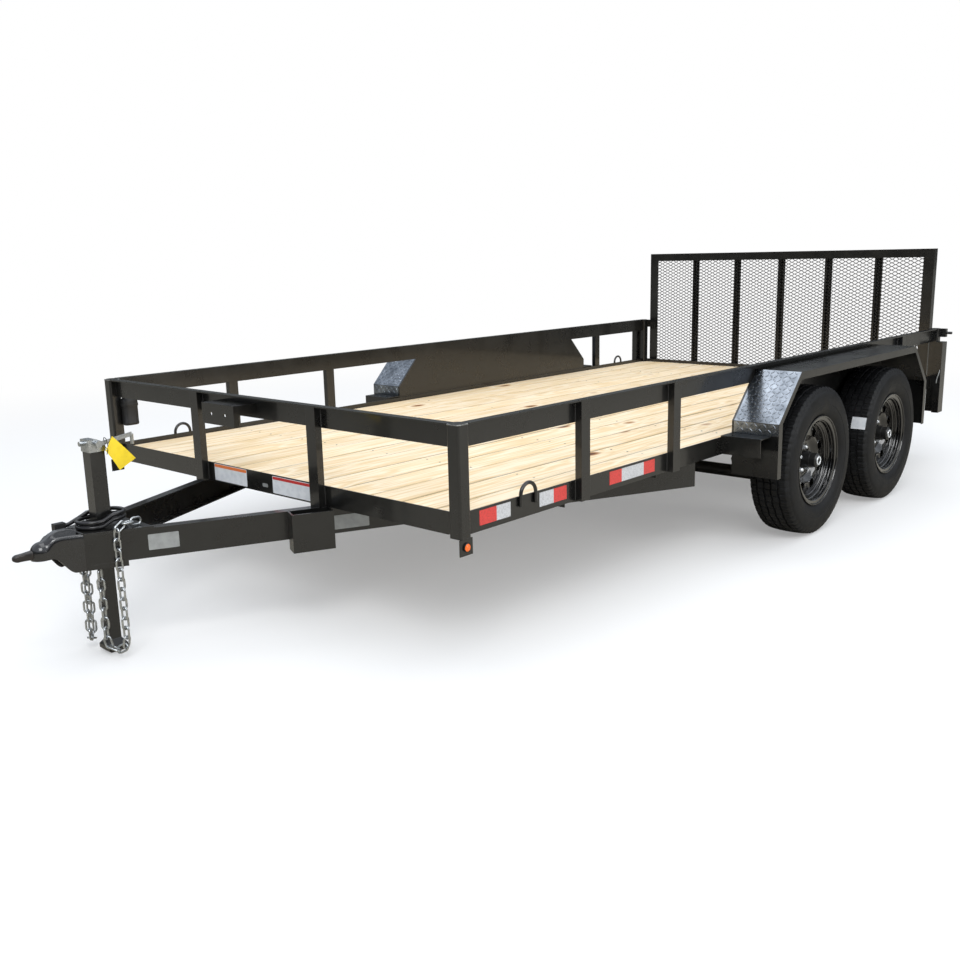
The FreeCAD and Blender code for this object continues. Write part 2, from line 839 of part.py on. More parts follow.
# Jack with a square tube, a capped head with its crank, and a sliding leg on a dished foot
def jack():
    middle = bed_front - jack_place
    half = jack_tube / 2
    bottom = frame_bottom - tongue_depth - cradle_depth - jack_below
    node(tube("jack_tube", (-half, half), (middle - half, middle + half), (bottom, jack_top),
              jack_wall, "z"))
    half_head = head_width / 2
    outline = [
        (middle - half_head, jack_top - head_lap),
        (middle - half_head, jack_top - head_lap + head_height),
        (middle, jack_top - head_lap + head_height),
        (middle + half_head, jack_top - head_lap + head_height - head_slope),
        (middle + half_head, jack_top - head_lap),
    ]
    block = prism("head_block", "YZ", outline, -half_head, head_width)
    lap = box("head_lap", (-half, half), (middle - half, middle + half), (jack_top - head_lap, jack_top))
    centre = jack_top + head_height / 2 - head_lap / 2
    nub = rod("head_nub", nub_radius, "y", middle - half_head - nub_length,
              nub_length + nub_radius / 2, -half_head / 2, centre)
    node(cut("jack_head", fused("head_whole", [block, nub]), lap))

    boss = rod("crank_boss", crank_boss, "x", half_head, boss_length + crank_wall, middle, centre)
    arm_x = half_head + boss_length
    outline = [
        (middle, centre - crank_width / 2),
        (middle + crank_reach, centre + crank_rise - crank_width / 2),
        (middle + crank_reach, centre + crank_rise + crank_width / 2),
        (middle, centre + crank_width / 2),
    ]
    arm = prism("crank_arm", "YZ", outline, arm_x, crank_wall)
    grip = rod("crank_grip", grip_rod / 2, "z", centre + crank_rise - grip_length, grip_length,
               arm_x + crank_wall / 2, middle + crank_reach)
    node(fused("jack_crank", [boss, arm, grip]))

    half_leg = half - jack_wall - leg_clear
    leg_top = jack_top - leg_travel - jack_wall
    leg = box("jack_leg_bar", (-half_leg, half_leg), (middle - half_leg, middle + half_leg),
              (foot_depth, leg_top))
    half_foot = foot_width / 2
    flare = foot_height - foot_depth
    outline = [
        (half_foot - foot_depth * 2, 0 * foot_depth),
        (half_foot, foot_depth * 2),
        (half_foot, foot_height),
        (half_leg, foot_height + flare),
    ]
    outline = outline + [(-u, v) for u, v in reversed(outline)]
    foot = []
    for plane, start in (("YZ", -half_foot), ("XZ", middle - half_foot)):
        shift = middle if plane == "YZ" else 0 * middle
        foot.append(prism("jack_foot_" + plane.lower(), plane,
                          [(u + shift, v) for u, v in outline], start, foot_width))
    node(fused("jack_leg", [leg, common("jack_foot", foot[0], foot[1])]))


# The wiring lead wound round the jack, from its gland to its plug on the coupler
def wiring():
    middle = bed_front - jack_place
    side = coil_radius
    end = coil_radius + climb_run / 2 + climb_end
    level = frame_bottom + plate_wall + lead_radius + lead_clear
    gland_y = middle + end + lead_radius * 2
    path = [point(-side, gland_y - gland_radius, level)]
    bends = []
    for turn in range(LEAD_TURNS):
        high = level + lead_pitch
        path += [
            point(-side, middle - end, level),
            point(side, middle - end, level),
            point(side, middle - climb_run / 2, level),
            point(side, middle + climb_run / 2, high),
            point(side, middle + end, high),
            point(-side, middle + end, high),
        ]
        bends += [coil_radius, coil_radius, climb_bend, climb_bend, coil_radius, coil_radius]
        level = high
    rest = frame_bottom + plate_wall + plug_width / 2
    drop = middle - climb_run / 2
    path += [point(-side, drop, level), point(-side, drop - climb_run * 2, rest),
             point(-side, bed_front - lead_end, rest)]
    bends += [climb_bend, climb_bend]
    lead = bent_rod(path, [number(bend) for bend in bends], number(lead_radius))
    node(shaped("wiring_lead", lead))
    node(rod("lead_gland", gland_radius, "z", frame_bottom + plate_wall, gland_height,
             -side, gland_y))
    plug = bed_front - lead_end
    node(box("lead_plug", (-side - plug_width / 2, -side + plug_width / 2),
             (plug - plug_length, plug), (rest - plug_width / 2, rest + plug_width / 2)))


def chain_link(pitch, width, wire):
    """One link along X: a six sided bar mitred round eight corners, its bar in the XY plane."""
    reach = pitch / 2 + wire / 2
    half = (width + wire) / 2
    bend = half / 2
    corners = [(reach, -bend), (reach, bend), (reach - bend, half), (bend - reach, half),
               (-reach, bend), (-reach, -bend), (bend - reach, -half), (reach - bend, -half)]
    count = len(corners)
    rings = []
    for here, (x, y) in enumerate(corners):
        spot = Vector(x, y, 0)
        ahead = (Vector(*corners[(here + 1) % count], 0) - spot).normalize()
        back = (spot - Vector(*corners[here - 1], 0)).normalize()
        along = (ahead + back).normalize()
        outward = Vector(along.y, -along.x, 0) * (wire / 2 / along.dot(ahead))
        upward = Vector(0, 0, wire / 2)
        rings.append([spot + outward * math.cos(math.tau * side / BAR_SIDES)
                      + upward * math.sin(math.tau * side / BAR_SIDES) for side in range(BAR_SIDES)])
    faces = []
    for here in range(count):
        first, second = rings[here], rings[(here + 1) % count]
        for side in range(BAR_SIDES):
            after = (side + 1) % BAR_SIDES
            spots = [first[side], second[side], second[after], first[after], first[side]]
            faces.append(Part.Face(Part.makePolygon(spots)))
    return Part.Solid(Part.Shell(faces))


def laid_chain(link, route, pitch, twist):
    """Links set end to end along a route, each a quarter turn from the last, their bars touching."""
    samples = route.discretize(Number=ROUTE_SPOTS)
    touch = number(chain_wire + chain_slack)

    def beyond(start, reach):
        for row in range(start, len(samples)):
            if samples[row].distanceToPoint(samples[start]) >= reach:
                return row
        return None

    here, hook = 0, touch / 2
    spots = [(0, hook)]
    while here is not None:
        next_hook = touch / 2
        for attempt in range(BAR_SIDES):
            row = beyond(here, pitch + touch - hook - next_hook)
            ahead = None if row is None else beyond(row, pitch)
            if ahead is None:
                break
            turn = (samples[row] - samples[here]).getAngle(samples[ahead] - samples[row])
            next_hook = touch / (1 + math.cos(turn))
        here, hook = (None if ahead is None else row), next_hook
        if here is not None:
            spots.append((here, hook))
    joints = [samples[row] for row, hook in spots]
    hooks = [hook for row, hook in spots]
    links = []
    side = twist
    for here in range(len(joints) - 1):
        along = (joints[here + 1] - joints[here]).normalize()
        across = (side - along * side.dot(along)).normalize()
        other = along.cross(across)
        if here % 2:
            across, other = other, across * -1
        middle = (joints[here] + joints[here + 1]) * 0.5
        middle += along * ((hooks[here + 1] - hooks[here]) / 2)
        turn = FreeCAD.Matrix(along.x, across.x, other.x, middle.x,
                              along.y, across.y, other.y, middle.y,
                              along.z, across.z, other.z, middle.z, 0, 0, 0, 1)
        links.append(link.transformed(turn))
        side = across if here % 2 == 0 else other * -1
    return links


# Safety chains: over the drawbar, down beside the jack, round near the ground and up again
def chains():
    pitch = number(chain_pitch)
    link = chain_link(pitch + number(chain_slack), number(chain_width), number(chain_wire))
    links = []
    for name, sign in sides:
        outer = sign * (tongue_outside(-chain_place) + chain_out)
        under = sign * (tongue_outside(-chain_place) - chain_under)
        anchor = sign * (tongue_outside(-chain_anchor) - chain_under)
        top = frame_bottom + plate_wall + chain_width / 2 + chain_wire + chain_slack / 2
        back = bed_front - chain_place - chain_back
        path = [
            point(anchor, bed_front - chain_anchor, top),
            point(outer, bed_front - chain_place, top + chain_wire),
            point(outer, bed_front - chain_place, chain_low),
            point(under, back, chain_low),
            point(under, back, frame_bottom - tongue_depth - cradle_depth + chain_pitch),
        ]
        bends = [number(chain_fold), number(chain_turn), number(chain_turn)]
        route = bent_line(path, bends)
        links += laid_chain(link, route, pitch, Vector(0, 0, 1))
    node(shaped("safety_chains", Part.makeCompound(links)))


def window_cutters(start, middle):
    """D shaped bars along X, one for each window of a rim, wide side outward."""
    near, far = number(window_inner), number(window_outer)
    cutters = []
    for turn in range(WINDOWS):
        angle = math.tau * (turn + 1 / 2) / WINDOWS
        out = Vector(0, math.cos(angle), math.sin(angle))
        side = Vector(0, -out.z, out.y)
        spots = []
        for way in (1, -1):
            row = [out * (near + (far - near) * up) + side * (way * number(window_half) * wide)
                   for up, wide in window_shares]
            spots += row if way == 1 else row[::-1]
        centre = point(start, middle, wheel_height)
        spots = [centre + spot for spot in spots]
        face = Part.Face(Part.makePolygon(spots + [spots[0]]))
        cutters.append(face.extrude(Vector(number(disc_bulge + rim_wall * 2), 0, 0)))
    return Part.makeCompound(cutters)


# A wheel: tyre, windowed rim, and hub with its brake drum
def wheel(label, sign, middle):
    half = tyre_width / 2
    half_rim = rim_width / 2
    seat = half_rim - rim_lip
    centre = sign * hub_place
    tread = tyre_radius
    crown = half * crown_half_share
    rise = tyre_radius - flange_radius
    flank = [(seat, bead_radius), (seat, flange_radius)]
    flank += [(half * out, flange_radius + rise * up) for out, up in tyre_shares]
    flank += [(crown, tread - rise * shoulder_drop_share), (half * tread_half_share, tread)]
    outline = [(-u, v) for u, v in flank] + [(u, v) for u, v in reversed(flank)]
    node(turned("tyre_" + label, outline, centre, middle, wheel_height, 1))
    well = seat * rim_seat_share
    trough = seat * rim_well_share
    rim_outline = [
        (-half_rim, flange_radius),
        (-seat, flange_radius),
        (-seat, bead_radius),
        (-well, bead_radius),
        (-trough, well_radius),
        (trough, well_radius),
        (well, bead_radius),
        (seat, bead_radius),
        (seat, flange_radius),
        (half_rim, flange_radius),
        (half_rim, flange_radius - rim_wall),
        (seat + rim_wall, bead_radius - rim_wall),
        (well + rim_wall, bead_radius - rim_wall),
        (trough + rim_wall, well_radius - rim_wall),
        (-trough - rim_wall, well_radius - rim_wall),
        (-well - rim_wall, bead_radius - rim_wall),
        (-seat - rim_wall, bead_radius - rim_wall),
        (-half_rim, flange_radius - rim_wall),
    ]
    barrel = turned("rim_barrel_" + label, rim_outline, centre, middle, wheel_height, 1)
    disc_edge = well_radius - rim_wall
    crest = (disc_radius + disc_edge) / 2
    disc_outline = [
        (0 * rim_wall, hub_radius + rim_wall),
        (0 * rim_wall, disc_radius),
        (disc_bulge, crest),
        (disc_bulge, disc_edge),
        (disc_bulge + rim_wall, disc_edge),
        (disc_bulge + rim_wall, crest),
        (rim_wall, disc_radius),
        (rim_wall, hub_radius + rim_wall),
    ]
    disc = turned("rim_disc_" + label, disc_outline, centre, middle, wheel_height, sign)
    start = ordered(centre, centre + sign * (disc_bulge + rim_wall * 2))[0]
    windows = shaped("windows_" + label, window_cutters(start, middle))
    pierced = cut("rim_plate_" + label, disc, windows)
    node(fused("rim_" + label, [barrel, pierced]))
    inner = -flange_depth
    hub_outline = [
        (inner - drum_depth, drum_radius),
        (inner, drum_radius),
        (inner, disc_radius),
        (0 * inner, disc_radius),
        (0 * inner, hub_radius),
        (hub_reach, hub_radius),
        (hub_reach, cap_radius),
        (hub_reach + cap_reach * cap_flat_share, cap_radius),
        (hub_reach + cap_reach, cap_radius * cap_nose_share),
        (hub_reach + cap_reach, 0 * cap_radius),
        (hub_reach + flange_depth, 0 * cap_radius),
        (hub_reach + flange_depth, hub_bore),
        (inner - drum_depth, hub_bore),
        (inner - drum_depth, hub_radius),
        (inner - drum_wall, hub_radius),
        (inner - drum_wall, drum_radius - drum_wall),
        (inner - drum_depth, drum_radius - drum_wall),
    ]
    node(turned("hub_" + label, hub_outline, centre, middle, wheel_height, sign))


# A drop axle with its spindles, brake shields and spring seats
def axle(label, middle):
    tube_height = wheel_height - axle_drop
    shield_face = flange_depth + drum_depth + shield_gap
    knuckle = hub_place - shield_face - shield_wall
    pieces = [rod("axle_tube_" + label, axle_radius, "x", -knuckle + knuckle_depth,
                  (knuckle - knuckle_depth) * 2, middle, tube_height)]
    for name, sign in sides:
        x = ordered(sign * (knuckle - knuckle_depth), sign * knuckle)
        pieces.append(box("knuckle_" + label + "_" + name, x,
                          (middle - knuckle_half, middle + knuckle_half),
                          (tube_height - knuckle_half, wheel_height + knuckle_half)))
        reach = hub_place + hub_reach - knuckle
        start = ordered(sign * knuckle, sign * (knuckle + reach))[0]
        pieces.append(rod("spindle_" + label + "_" + name, spindle_radius, "x", start, reach,
                          middle, wheel_height))
        x = (sign * spring_place - spring_width / 2, sign * spring_place + spring_width / 2)
        pieces.append(box("spring_seat_" + label + "_" + name, x,
                          (middle - seat_length / 2, middle + seat_length / 2),
                          (tube_height, tube_height + axle_radius + seat_height)))
    whole = fused("axle_" + label, pieces)
    shields = []
    for name, sign in sides:
        start = ordered(sign * knuckle, sign * (knuckle + shield_wall))[0]
        disc = rod("shield_disc_" + label + "_" + name, shield_radius, "x", start, shield_wall,
                   middle, wheel_height)
        eye = rod("shield_eye_" + label + "_" + name, spindle_radius, "x", start, shield_wall,
                  middle, wheel_height)
        shields.append(cut("shield_" + label + "_" + name, disc, eye))
    return whole, shields


def leaf_spring(label, x, middle, base):
    """A pack of curved leaves with an eye at each end, its lowest leaf on the seat."""
    half = number(spring_length) / 2
    rise = number(spring_rise)
    radius = (half ** 2 + rise ** 2) / (rise * 2)
    depth = number(leaf_depth)
    width = number(spring_width)
    top = number(base) + depth * LEAVES
    centre = Vector(number(x) - width / 2, number(middle), top + radius - depth)
    pack = None
    for row in range(LEAVES):
        inside = radius - depth + depth * row
        outside = inside + depth
        reach = math.asin(half / radius) * (1 - row / (LEAVES + 1))
        corners = []
        for arm, turn in ((inside, -reach), (inside, reach), (outside, reach), (outside, -reach)):
            corners.append(centre + Vector(0, arm * math.sin(turn), -arm * math.cos(turn)))
        middles = [centre + Vector(0, 0, -arm) for arm in (inside, outside)]
        wire = Part.Wire([
            Part.Arc(corners[0], middles[0], corners[1]).toShape(),
            Part.LineSegment(corners[1], corners[2]).toShape(),
            Part.Arc(corners[2], middles[1], corners[3]).toShape(),
            Part.LineSegment(corners[3], corners[0]).toShape(),
        ])
        leaf = Part.Face(wire).extrude(Vector(width, 0, 0))
        pack = leaf if pack is None else pack.fuse(leaf)
    eye = top - depth + rise + number(eye_radius) - depth
    for side in (-1, 1):
        spot = Vector(centre.x, number(middle) + side * half, eye)
        along = Vector(1, 0, 0)
        pack = pack.fuse(Part.makeCylinder(number(eye_radius), width, spot, along))
        pack = pack.cut(Part.makeCylinder(number(bolt_radius + bolt_clear), width, spot, along))
    return shaped(label, pack.removeSplitter())


# Springs, hangers and the rocking equalizers between them
def suspension():
    base = wheel_height - axle_drop + axle_radius + seat_height
    eye = base + leaf_depth * (LEAVES - 1) + spring_rise + eye_radius - leaf_depth
    packs = []
    hangers = []
    rockers = []
    links = []
    for name, sign in sides:
        x = sign * spring_place
        for row, shift in (("front", -1), ("rear", 1)):
            middle = bed_front + axle_middle + shift * axle_pitch / 2
            packs.append(leaf_spring("spring_" + row + "_" + name, x, middle, base))
            end = middle + shift * spring_length / 2
            hangers.append(hanger("hanger_" + row + "_" + name, x, end, eye))
        middle = bed_front + axle_middle
        pivot = (frame_bottom + eye) / 2 + eye_radius / 2
        hangers.append(hanger("hanger_middle_" + name, x, middle, pivot))
        rockers.append(equalizer("equalizer_" + name, x, middle, pivot))
        links += shackles("shackles_" + name, x, middle, pivot, eye)
    node(grouped("springs", packs))
    node(grouped("hangers", hangers))
    node(grouped("equalizers", rockers))
    node(grouped("shackles", links))


def hanger(label, x, middle, height):
    """Two ears under the frame with a bolt through them."""
    half = spring_width / 2
    ears = []
    for ear, way in (("outer", 1), ("inner", -1)):
        near = x + way * half
        far = x + way * (half + hanger_wall)
        outline = [
            (middle - hanger_width / 2, frame_bottom),
            (middle + hanger_width / 2, frame_bottom),
            (middle + eye_radius, height - eye_radius),
            (middle - eye_radius, height - eye_radius),
        ]
        start = ordered(near, far)[0]
        ears.append(prism(label + "_" + ear, "YZ", outline, start, hanger_wall))
    bolt = rod(label + "_bolt", bolt_radius, "x", x - half - hanger_wall * 2,
               (half + hanger_wall * 2) * 2, middle, height)
    return fused(label, ears + [bolt])


def equalizer(label, x, middle, pivot):
    """A rocker on the bolt of the middle hanger."""
    half = spring_width / 2
    reach = (axle_pitch - spring_length) / 2 - eye_radius + link_half
    outline = [
        (middle - reach, pivot - link_half / 2),
        (middle, pivot - eye_radius),
        (middle + reach, pivot - link_half / 2),
        (middle + reach, pivot + link_half / 2),
        (middle, pivot + eye_radius),
        (middle - reach, pivot + link_half / 2),
    ]
    rocker = prism(label + "_rocker", "YZ", outline, x - half, spring_width)
    hole = rod(label + "_eye", bolt_radius + bolt_clear, "x", x - half, spring_width, middle, pivot)
    return cut(label, rocker, hole)


def shackles(label, x, middle, pivot, eye):
    """Pairs of links, outside the rocker and the springs, from the rocker's ends to the eyes."""
    half = spring_width / 2
    gap = (axle_pitch - spring_length) / 2
    top = gap - eye_radius
    rows = []
    for row, way in (("front", -1), ("rear", 1)):
        outline = [
            (middle + way * (top - link_half), pivot + link_half / 2),
            (middle + way * (top + link_half), pivot + link_half / 2),
            (middle + way * (gap + link_half), eye),
            (middle + way * (gap + link_half / 2), eye - link_half),
            (middle + way * (gap - link_half / 2), eye - link_half),
            (middle + way * (gap - link_half), eye),
        ]
        pieces = [rod(label + "_bolt_" + row, bolt_radius, "x", x - half - link_wall,
                      (half + link_wall) * 2, middle + way * gap, eye)]
        for side, start in (("outer", x + half), ("inner", x - half - link_wall)):
            pieces.append(prism(label + "_" + row + "_" + side, "YZ", outline, start, link_wall))
        rows.append(fused(label + "_" + row, pieces))
    return rows


# Fenders: a bent skin with a turned lip, and the inner wall beside the deck
def fenders():
    middle = bed_front + axle_middle
    wells = []
    steps = []
    for name, sign in sides:
        wall = fender_wall
        reach = fender_half + fender_run
        outer = [
            (middle - reach, fender_bottom),
            (middle - reach, fender_knee),
            (middle - fender_half, fender_top),
            (middle + fender_half, fender_top),
            (middle + reach, fender_knee),
            (middle + reach, fender_bottom),
        ]
        inner = [
            (middle + reach - wall, fender_bottom),
            (middle + reach - wall, fender_knee),
            (middle + fender_half, fender_top - wall),
            (middle - fender_half, fender_top - wall),
            (middle - reach + wall, fender_knee),
            (middle - reach + wall, fender_bottom),
        ]
        lip = [
            (middle + reach - fender_lip, fender_bottom),
            (middle + reach - fender_lip, fender_knee),
            (middle + fender_half, fender_top - fender_lip),
            (middle - fender_half, fender_top - fender_lip),
            (middle - reach + fender_lip, fender_knee),
            (middle - reach + fender_lip, fender_bottom),
        ]
        inside = sign * (half_width + wall)
        outside = sign * fender_outside
        start, end = ordered(inside, outside)
        skin = prism("fender_skin_" + name, "YZ", outer + inner, start, end - start)
        edge_start = ordered(outside - sign * wall, outside)[0]
        edge = prism("fender_edge_" + name, "YZ", outer + lip, edge_start, wall)
        node(fused("fender_" + name, [skin, edge]))
        well = [(u, v) if number(v) > number(fender_bottom) else (u, frame_bottom) for u, v in outer]
        well_start = ordered(sign * half_width, inside)[0]
        wells.append(prism("wheel_well_" + name, "YZ", well, well_start, wall))
        for row, way in (("front", -1), ("rear", 1)):
            base = middle + way * reach
            face = base + way * step_depth
            top = frame_top + step_lift
            outline = [
                (base, top),
                (face, top),
                (face, top - step_height),
                (face - way * wall, top - step_height),
                (face - way * wall, top - wall),
                (base, top - wall),
            ]
            x = ordered(sign * half_width, sign * (half_width + step_reach))
            steps.append(prism("fender_step_" + row + "_" + name, "YZ", outline, x[0], step_reach))
    node(grouped("wheel_wells", wells))
    node(grouped("fender_steps", steps))


# Tail gate, an angle frame with uprights and expanded mesh, hinged at its foot
def gate():
    near = bed_rear + gate_gap
    far = near + gate_leg
    half = gate_width / 2
    low = hinge_height - gate_below
    ring = box("gate_ring", (-half, half), (near, far), (low, gate_top))
    hole = box("gate_opening", (gate_side - half, half - gate_side), (near, near + gate_wall),
               (low + gate_leg, gate_top - gate_leg))
    inside = box("gate_inside", (gate_wall - half, half - gate_wall), (near + gate_wall, far),
                 (low + gate_wall, gate_top - gate_wall))
    node(cut("gate_frame", ring, fused("gate_cuts", [hole, inside])))
    rows = []
    back = near + gate_wall + mesh_depth
    for row in range(GATE_BARS):
        middle = (gate_width - gate_leg) * ((row + 1) / (GATE_BARS + 1) - 1 / 2)
        z = (low + gate_wall, gate_top - gate_wall)
        web = box("gate_web_" + str(row + 1), (middle - gate_wall / 2, middle + gate_wall / 2),
                  (back, far - gate_wall), z)
        face = box("gate_face_" + str(row + 1), (middle - gate_leg / 2, middle + gate_leg / 2),
                   (far - gate_wall, far), z)
        rows.append(fused("gate_bar_" + str(row + 1), [web, face]))
    node(grouped("gate_bars", rows))
    node(gate_mesh(near + gate_wall, low))
    pins = []
    for name, sign in sides:
        x = ordered(sign * half, sign * (half_width - corner_clear + corner_width / 2))
        pins.append(rod("gate_pin_" + name, hinge_pin, "x", x[0], x[1] - x[0],
                        bed_rear + hinge_back, hinge_height))
    node(grouped("gate_pins", pins))


def gate_mesh(front, low):
    """A sheet pierced by rows of diamonds."""
    half = number(gate_width / 2 - gate_wall)
    bottom = number(low + gate_wall)
    top = number(gate_top - gate_wall)
    pitch = number(mesh_pitch)
    columns = int(half * 2 / pitch)
    wide = half * 2 / columns
    rows = int((top - bottom) / (pitch / 2))
    tall = (top - bottom) / rows
    strand = number(mesh_strand)
    start = Vector(-half, number(front), bottom)
    sheet_metal = Part.makeBox(half * 2, number(mesh_depth), top - bottom, start)
    holes = []
    for row in range(rows * 2 - 1):
        shift = (row % 2) * wide / 2
        for column in range(columns - row % 2):
            middle = start + Vector(wide / 2 + shift + column * wide, 0, tall / 2 + row * tall / 2)
            spots = [
                middle + Vector(wide / 2 - strand, 0, 0),
                middle + Vector(0, 0, tall / 2 - strand / 2),
                middle - Vector(wide / 2 - strand, 0, 0),
                middle - Vector(0, 0, tall / 2 - strand / 2),
            ]
            face = Part.Face(Part.makePolygon(spots + [spots[0]]))
            holes.append(face.extrude(Vector(0, number(mesh_depth), 0)))
    return shaped("gate_mesh", sheet_metal.cut(Part.makeCompound(holes)))


# Hinge lugs and latches on the rear corners
def gate_mounts():
    lugs = []
    latches = []
    for name, sign in sides:
        inner = sign * (half_width - corner_clear)
        outer = sign * (half_width - corner_clear + corner_width / 2 - lug_gap)
        x = ordered(inner, outer)
        axis = bed_rear + hinge_back
        rear = bed_rear + post_depth
        outline = [
            (rear, hinge_height - hinge_eye),
            (axis + hinge_eye / 2, hinge_height - hinge_eye),
            (axis + hinge_eye, hinge_height - hinge_eye / 2),
            (axis + hinge_eye, hinge_height + hinge_eye / 2),
            (axis + hinge_eye / 2, hinge_height + hinge_eye),
            (rear, hinge_height + hinge_eye),
        ]
        ear = prism("hinge_ear_" + name, "YZ", outline, x[0], x[1] - x[0])
        bore = rod("hinge_bore_" + name, hinge_pin + hinge_clear, "x", x[0], x[1] - x[0],
                   axis, hinge_height)
        lugs.append(cut("hinge_lug_" + name, ear, bore))
        outside = sign * (half_width + post_depth)
        begin = sign * (gate_width / 2 + latch_gap)
        x = ordered(begin, outside + sign * latch_over)
        body = box("latch_body_" + name, x, (rear, rear + latch_depth),
                   (latch_height - latch_tall / 2, latch_height + latch_tall / 2))
        x = ordered(begin, outside + sign * (latch_over + latch_reach))
        pin = rod("latch_pin_" + name, latch_pin, "x", x[0], x[1] - x[0], rear + latch_depth / 2,
                  latch_height)
        latches.append(fused("latch_" + name, [body, pin]))
        y = bed_rear + gate_gap - latch_gap
        latches.append(box("gate_stop_" + name, ordered(inner, inner - sign * stop_length),
                           (y - stop_wall, y),
                           (latch_height - latch_tall / 2, latch_height + latch_tall / 2)))
    node(grouped("gate_hinges", lugs))
    node(grouped("gate_latches", latches))


# Tie loops, lamps, the spare wheel mount, the paper holder and the drawbar pocket
def fittings():
    loops = []
    brackets = []
    markers = []
    lamps = []
    for name, sign in sides:
        face = half_width + loop_rod
        behind = bed_front + rear_post + post_width
        rear_loop = behind + (bed_rear - corner_clear - behind) * rear_loop_share - loop_width / 2
        for row, start in (("front", bed_front + loop_place), ("rear", rear_loop)):
            path = [
                point(sign * face, start, frame_top - loop_leg),
                point(sign * face, start, frame_top + loop_height),
                point(sign * face, start + loop_width, frame_top + loop_height),
                point(sign * face, start + loop_width, frame_top - loop_leg),
            ]
            loops.append(shaped("tie_loop_" + row + "_" + name,
                                bent_rod(path, [number(loop_width / 2)] * 2, number(loop_rod))))
        outer = half_width + post_depth
        x = ordered(sign * (outer - fender_wall), sign * outer)
        y = (bed_front - post_depth + corner_width / 2 - marker_width / 2,
             bed_front - post_depth + corner_width / 2 + marker_width / 2)
        brackets.append(box("marker_plate_" + name, x, y, (frame_bottom - marker_drop, frame_bottom)))
        start = ordered(sign * outer, sign * (outer + marker_depth))[0]
        markers.append(rod("marker_" + name, marker_radius, "x", start, marker_depth,
                           (y[0] + y[1]) / 2, frame_bottom - marker_drop / 2))
        x = ordered(sign * outer, sign * (outer + tail_box_width))
        y = (bed_rear + post_depth - tail_box_depth, bed_rear + post_depth)
        brackets.append(box("tail_box_" + name, x, y, (tail_box_low, rail_bottom)))
        middle_x = sign * (outer + tail_box_width / 2)
        back = bed_rear + post_depth
        lamps.append(box("tail_lamp_" + name,
                         (middle_x - tail_lamp_half, middle_x + tail_lamp_half),
                         (back, back + marker_depth),
                         (tail_lamp_height - tail_lamp_length / 2,
                          tail_lamp_height + tail_lamp_length / 2)))
    node(grouped("tie_loops", loops))
    node(grouped("lamp_brackets", brackets))
    node(grouped("marker_lamps", markers))
    node(grouped("tail_lamps", lamps))

    top = rail_top - spare_drop
    low = top - spare_height
    front = bed_front - spare_depth
    x = (-spare_offset - spare_width / 2, -spare_offset + spare_width / 2)
    pieces = [box("spare_face", x, (front, front + angle_wall), (low, top)),
              box("spare_ledge", x, (front, bed_front), (top - angle_wall, top))]
    cheek = [
        (front, low),
        (front + spare_cheek, low),
        (front + spare_cheek, top - spare_arm),
        (bed_front, top - spare_arm),
        (bed_front, top),
        (front, top),
    ]
    for row, start in (("left", x[1] - angle_wall), ("right", x[0])):
        pieces.append(prism("spare_cheek_" + row, "YZ", cheek, start, angle_wall))
    holes = []
    for row, sign in sides:
        holes.append(rod("spare_hole_" + row, spare_hole, "y", front, angle_wall,
                         -spare_offset + sign * spare_pitch / 2, low + spare_height / 2))
    node(cut("spare_mount", fused("spare_arm", pieces), fused("spare_holes", holes)))

    right = -(half_width - corner_clear)
    low = rail_bottom - holder_height
    node(box("paper_holder", (right, right + holder_depth),
             (bed_front + angle_wall, bed_front + angle_wall + holder_width), (low, rail_bottom)))

    angle = math.degrees(math.atan(number(tongue_slope)))
    outline = [
        (0, 0),
        (pocket_depth, 0),
        (pocket_depth, pocket_length),
        (0, pocket_length),
        (0, pocket_length - plate_wall),
        (pocket_depth - plate_wall, pocket_length - plate_wall),
        (pocket_depth - plate_wall, plate_wall),
        (0, plate_wall),
    ]
    pocket = prism("drawbar_pocket", "XY", outline, 0, pocket_height)
    pocket.Placement.Rotation = FreeCAD.Rotation(Vector(0, 0, 1), -angle)
    place(pocket, tongue_outside(-pocket_place), bed_front - pocket_place,
          frame_bottom - pocket_height)
    node(pocket)


for name, sign in sides:
    side_frame(name, sign)
node(grouped("end_beams", [end_beam("front_beam", bed_front, 1),
                           end_beam("rear_beam", bed_rear, -1)]))
joists()
boards()
posts()
rails()
drawbar()
jack_plates()
coupler()
jack()
wiring()
chains()
axles = []
brake_shields = []
for row, shift in (("front", -1), ("rear", 1)):
    middle = bed_front + axle_middle + shift * axle_pitch / 2
    for name, sign in sides:
        wheel(name + "_" + row, sign, middle)
    whole, shields = axle(row, middle)
    axles.append(whole)
    brake_shields += shields
node(grouped("axles", axles))
node(grouped("brake_shields", brake_shields))
suspension()
fenders()
gate()
gate_mounts()
fittings()


def export_all():
    doc.recompute()
    for item in doc.Objects:
        if "Invalid" in item.State or "Error" in item.State:
            raise RuntimeError(item.Label + " failed")
    for item in nodes:
        if item.Shape.isNull() or not item.Shape.isValid():
            raise RuntimeError(item.Label + " has no valid shape")
    os.makedirs("parts", exist_ok=True)
    for item in nodes:
        item.Shape.exportStep("parts/" + item.Label + ".step")
        bounds = item.Shape.BoundBox
        print(item.Label, len(item.Shape.Solids), round(bounds.XMin), round(bounds.XMax),
              round(bounds.YMin), round(bounds.YMax), round(bounds.ZMin), round(bounds.ZMax))


export_all()
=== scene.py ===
"""Dresses a tandem axle utility trailer: finishes on its steelwork, tyres with tread, a timber
deck, an expanded metal gate, tread plate, tape, chains, labels, lamps, a studio and a camera."""

import math

import bmesh
import bpy
import numpy as np
from mathutils import Matrix, Vector


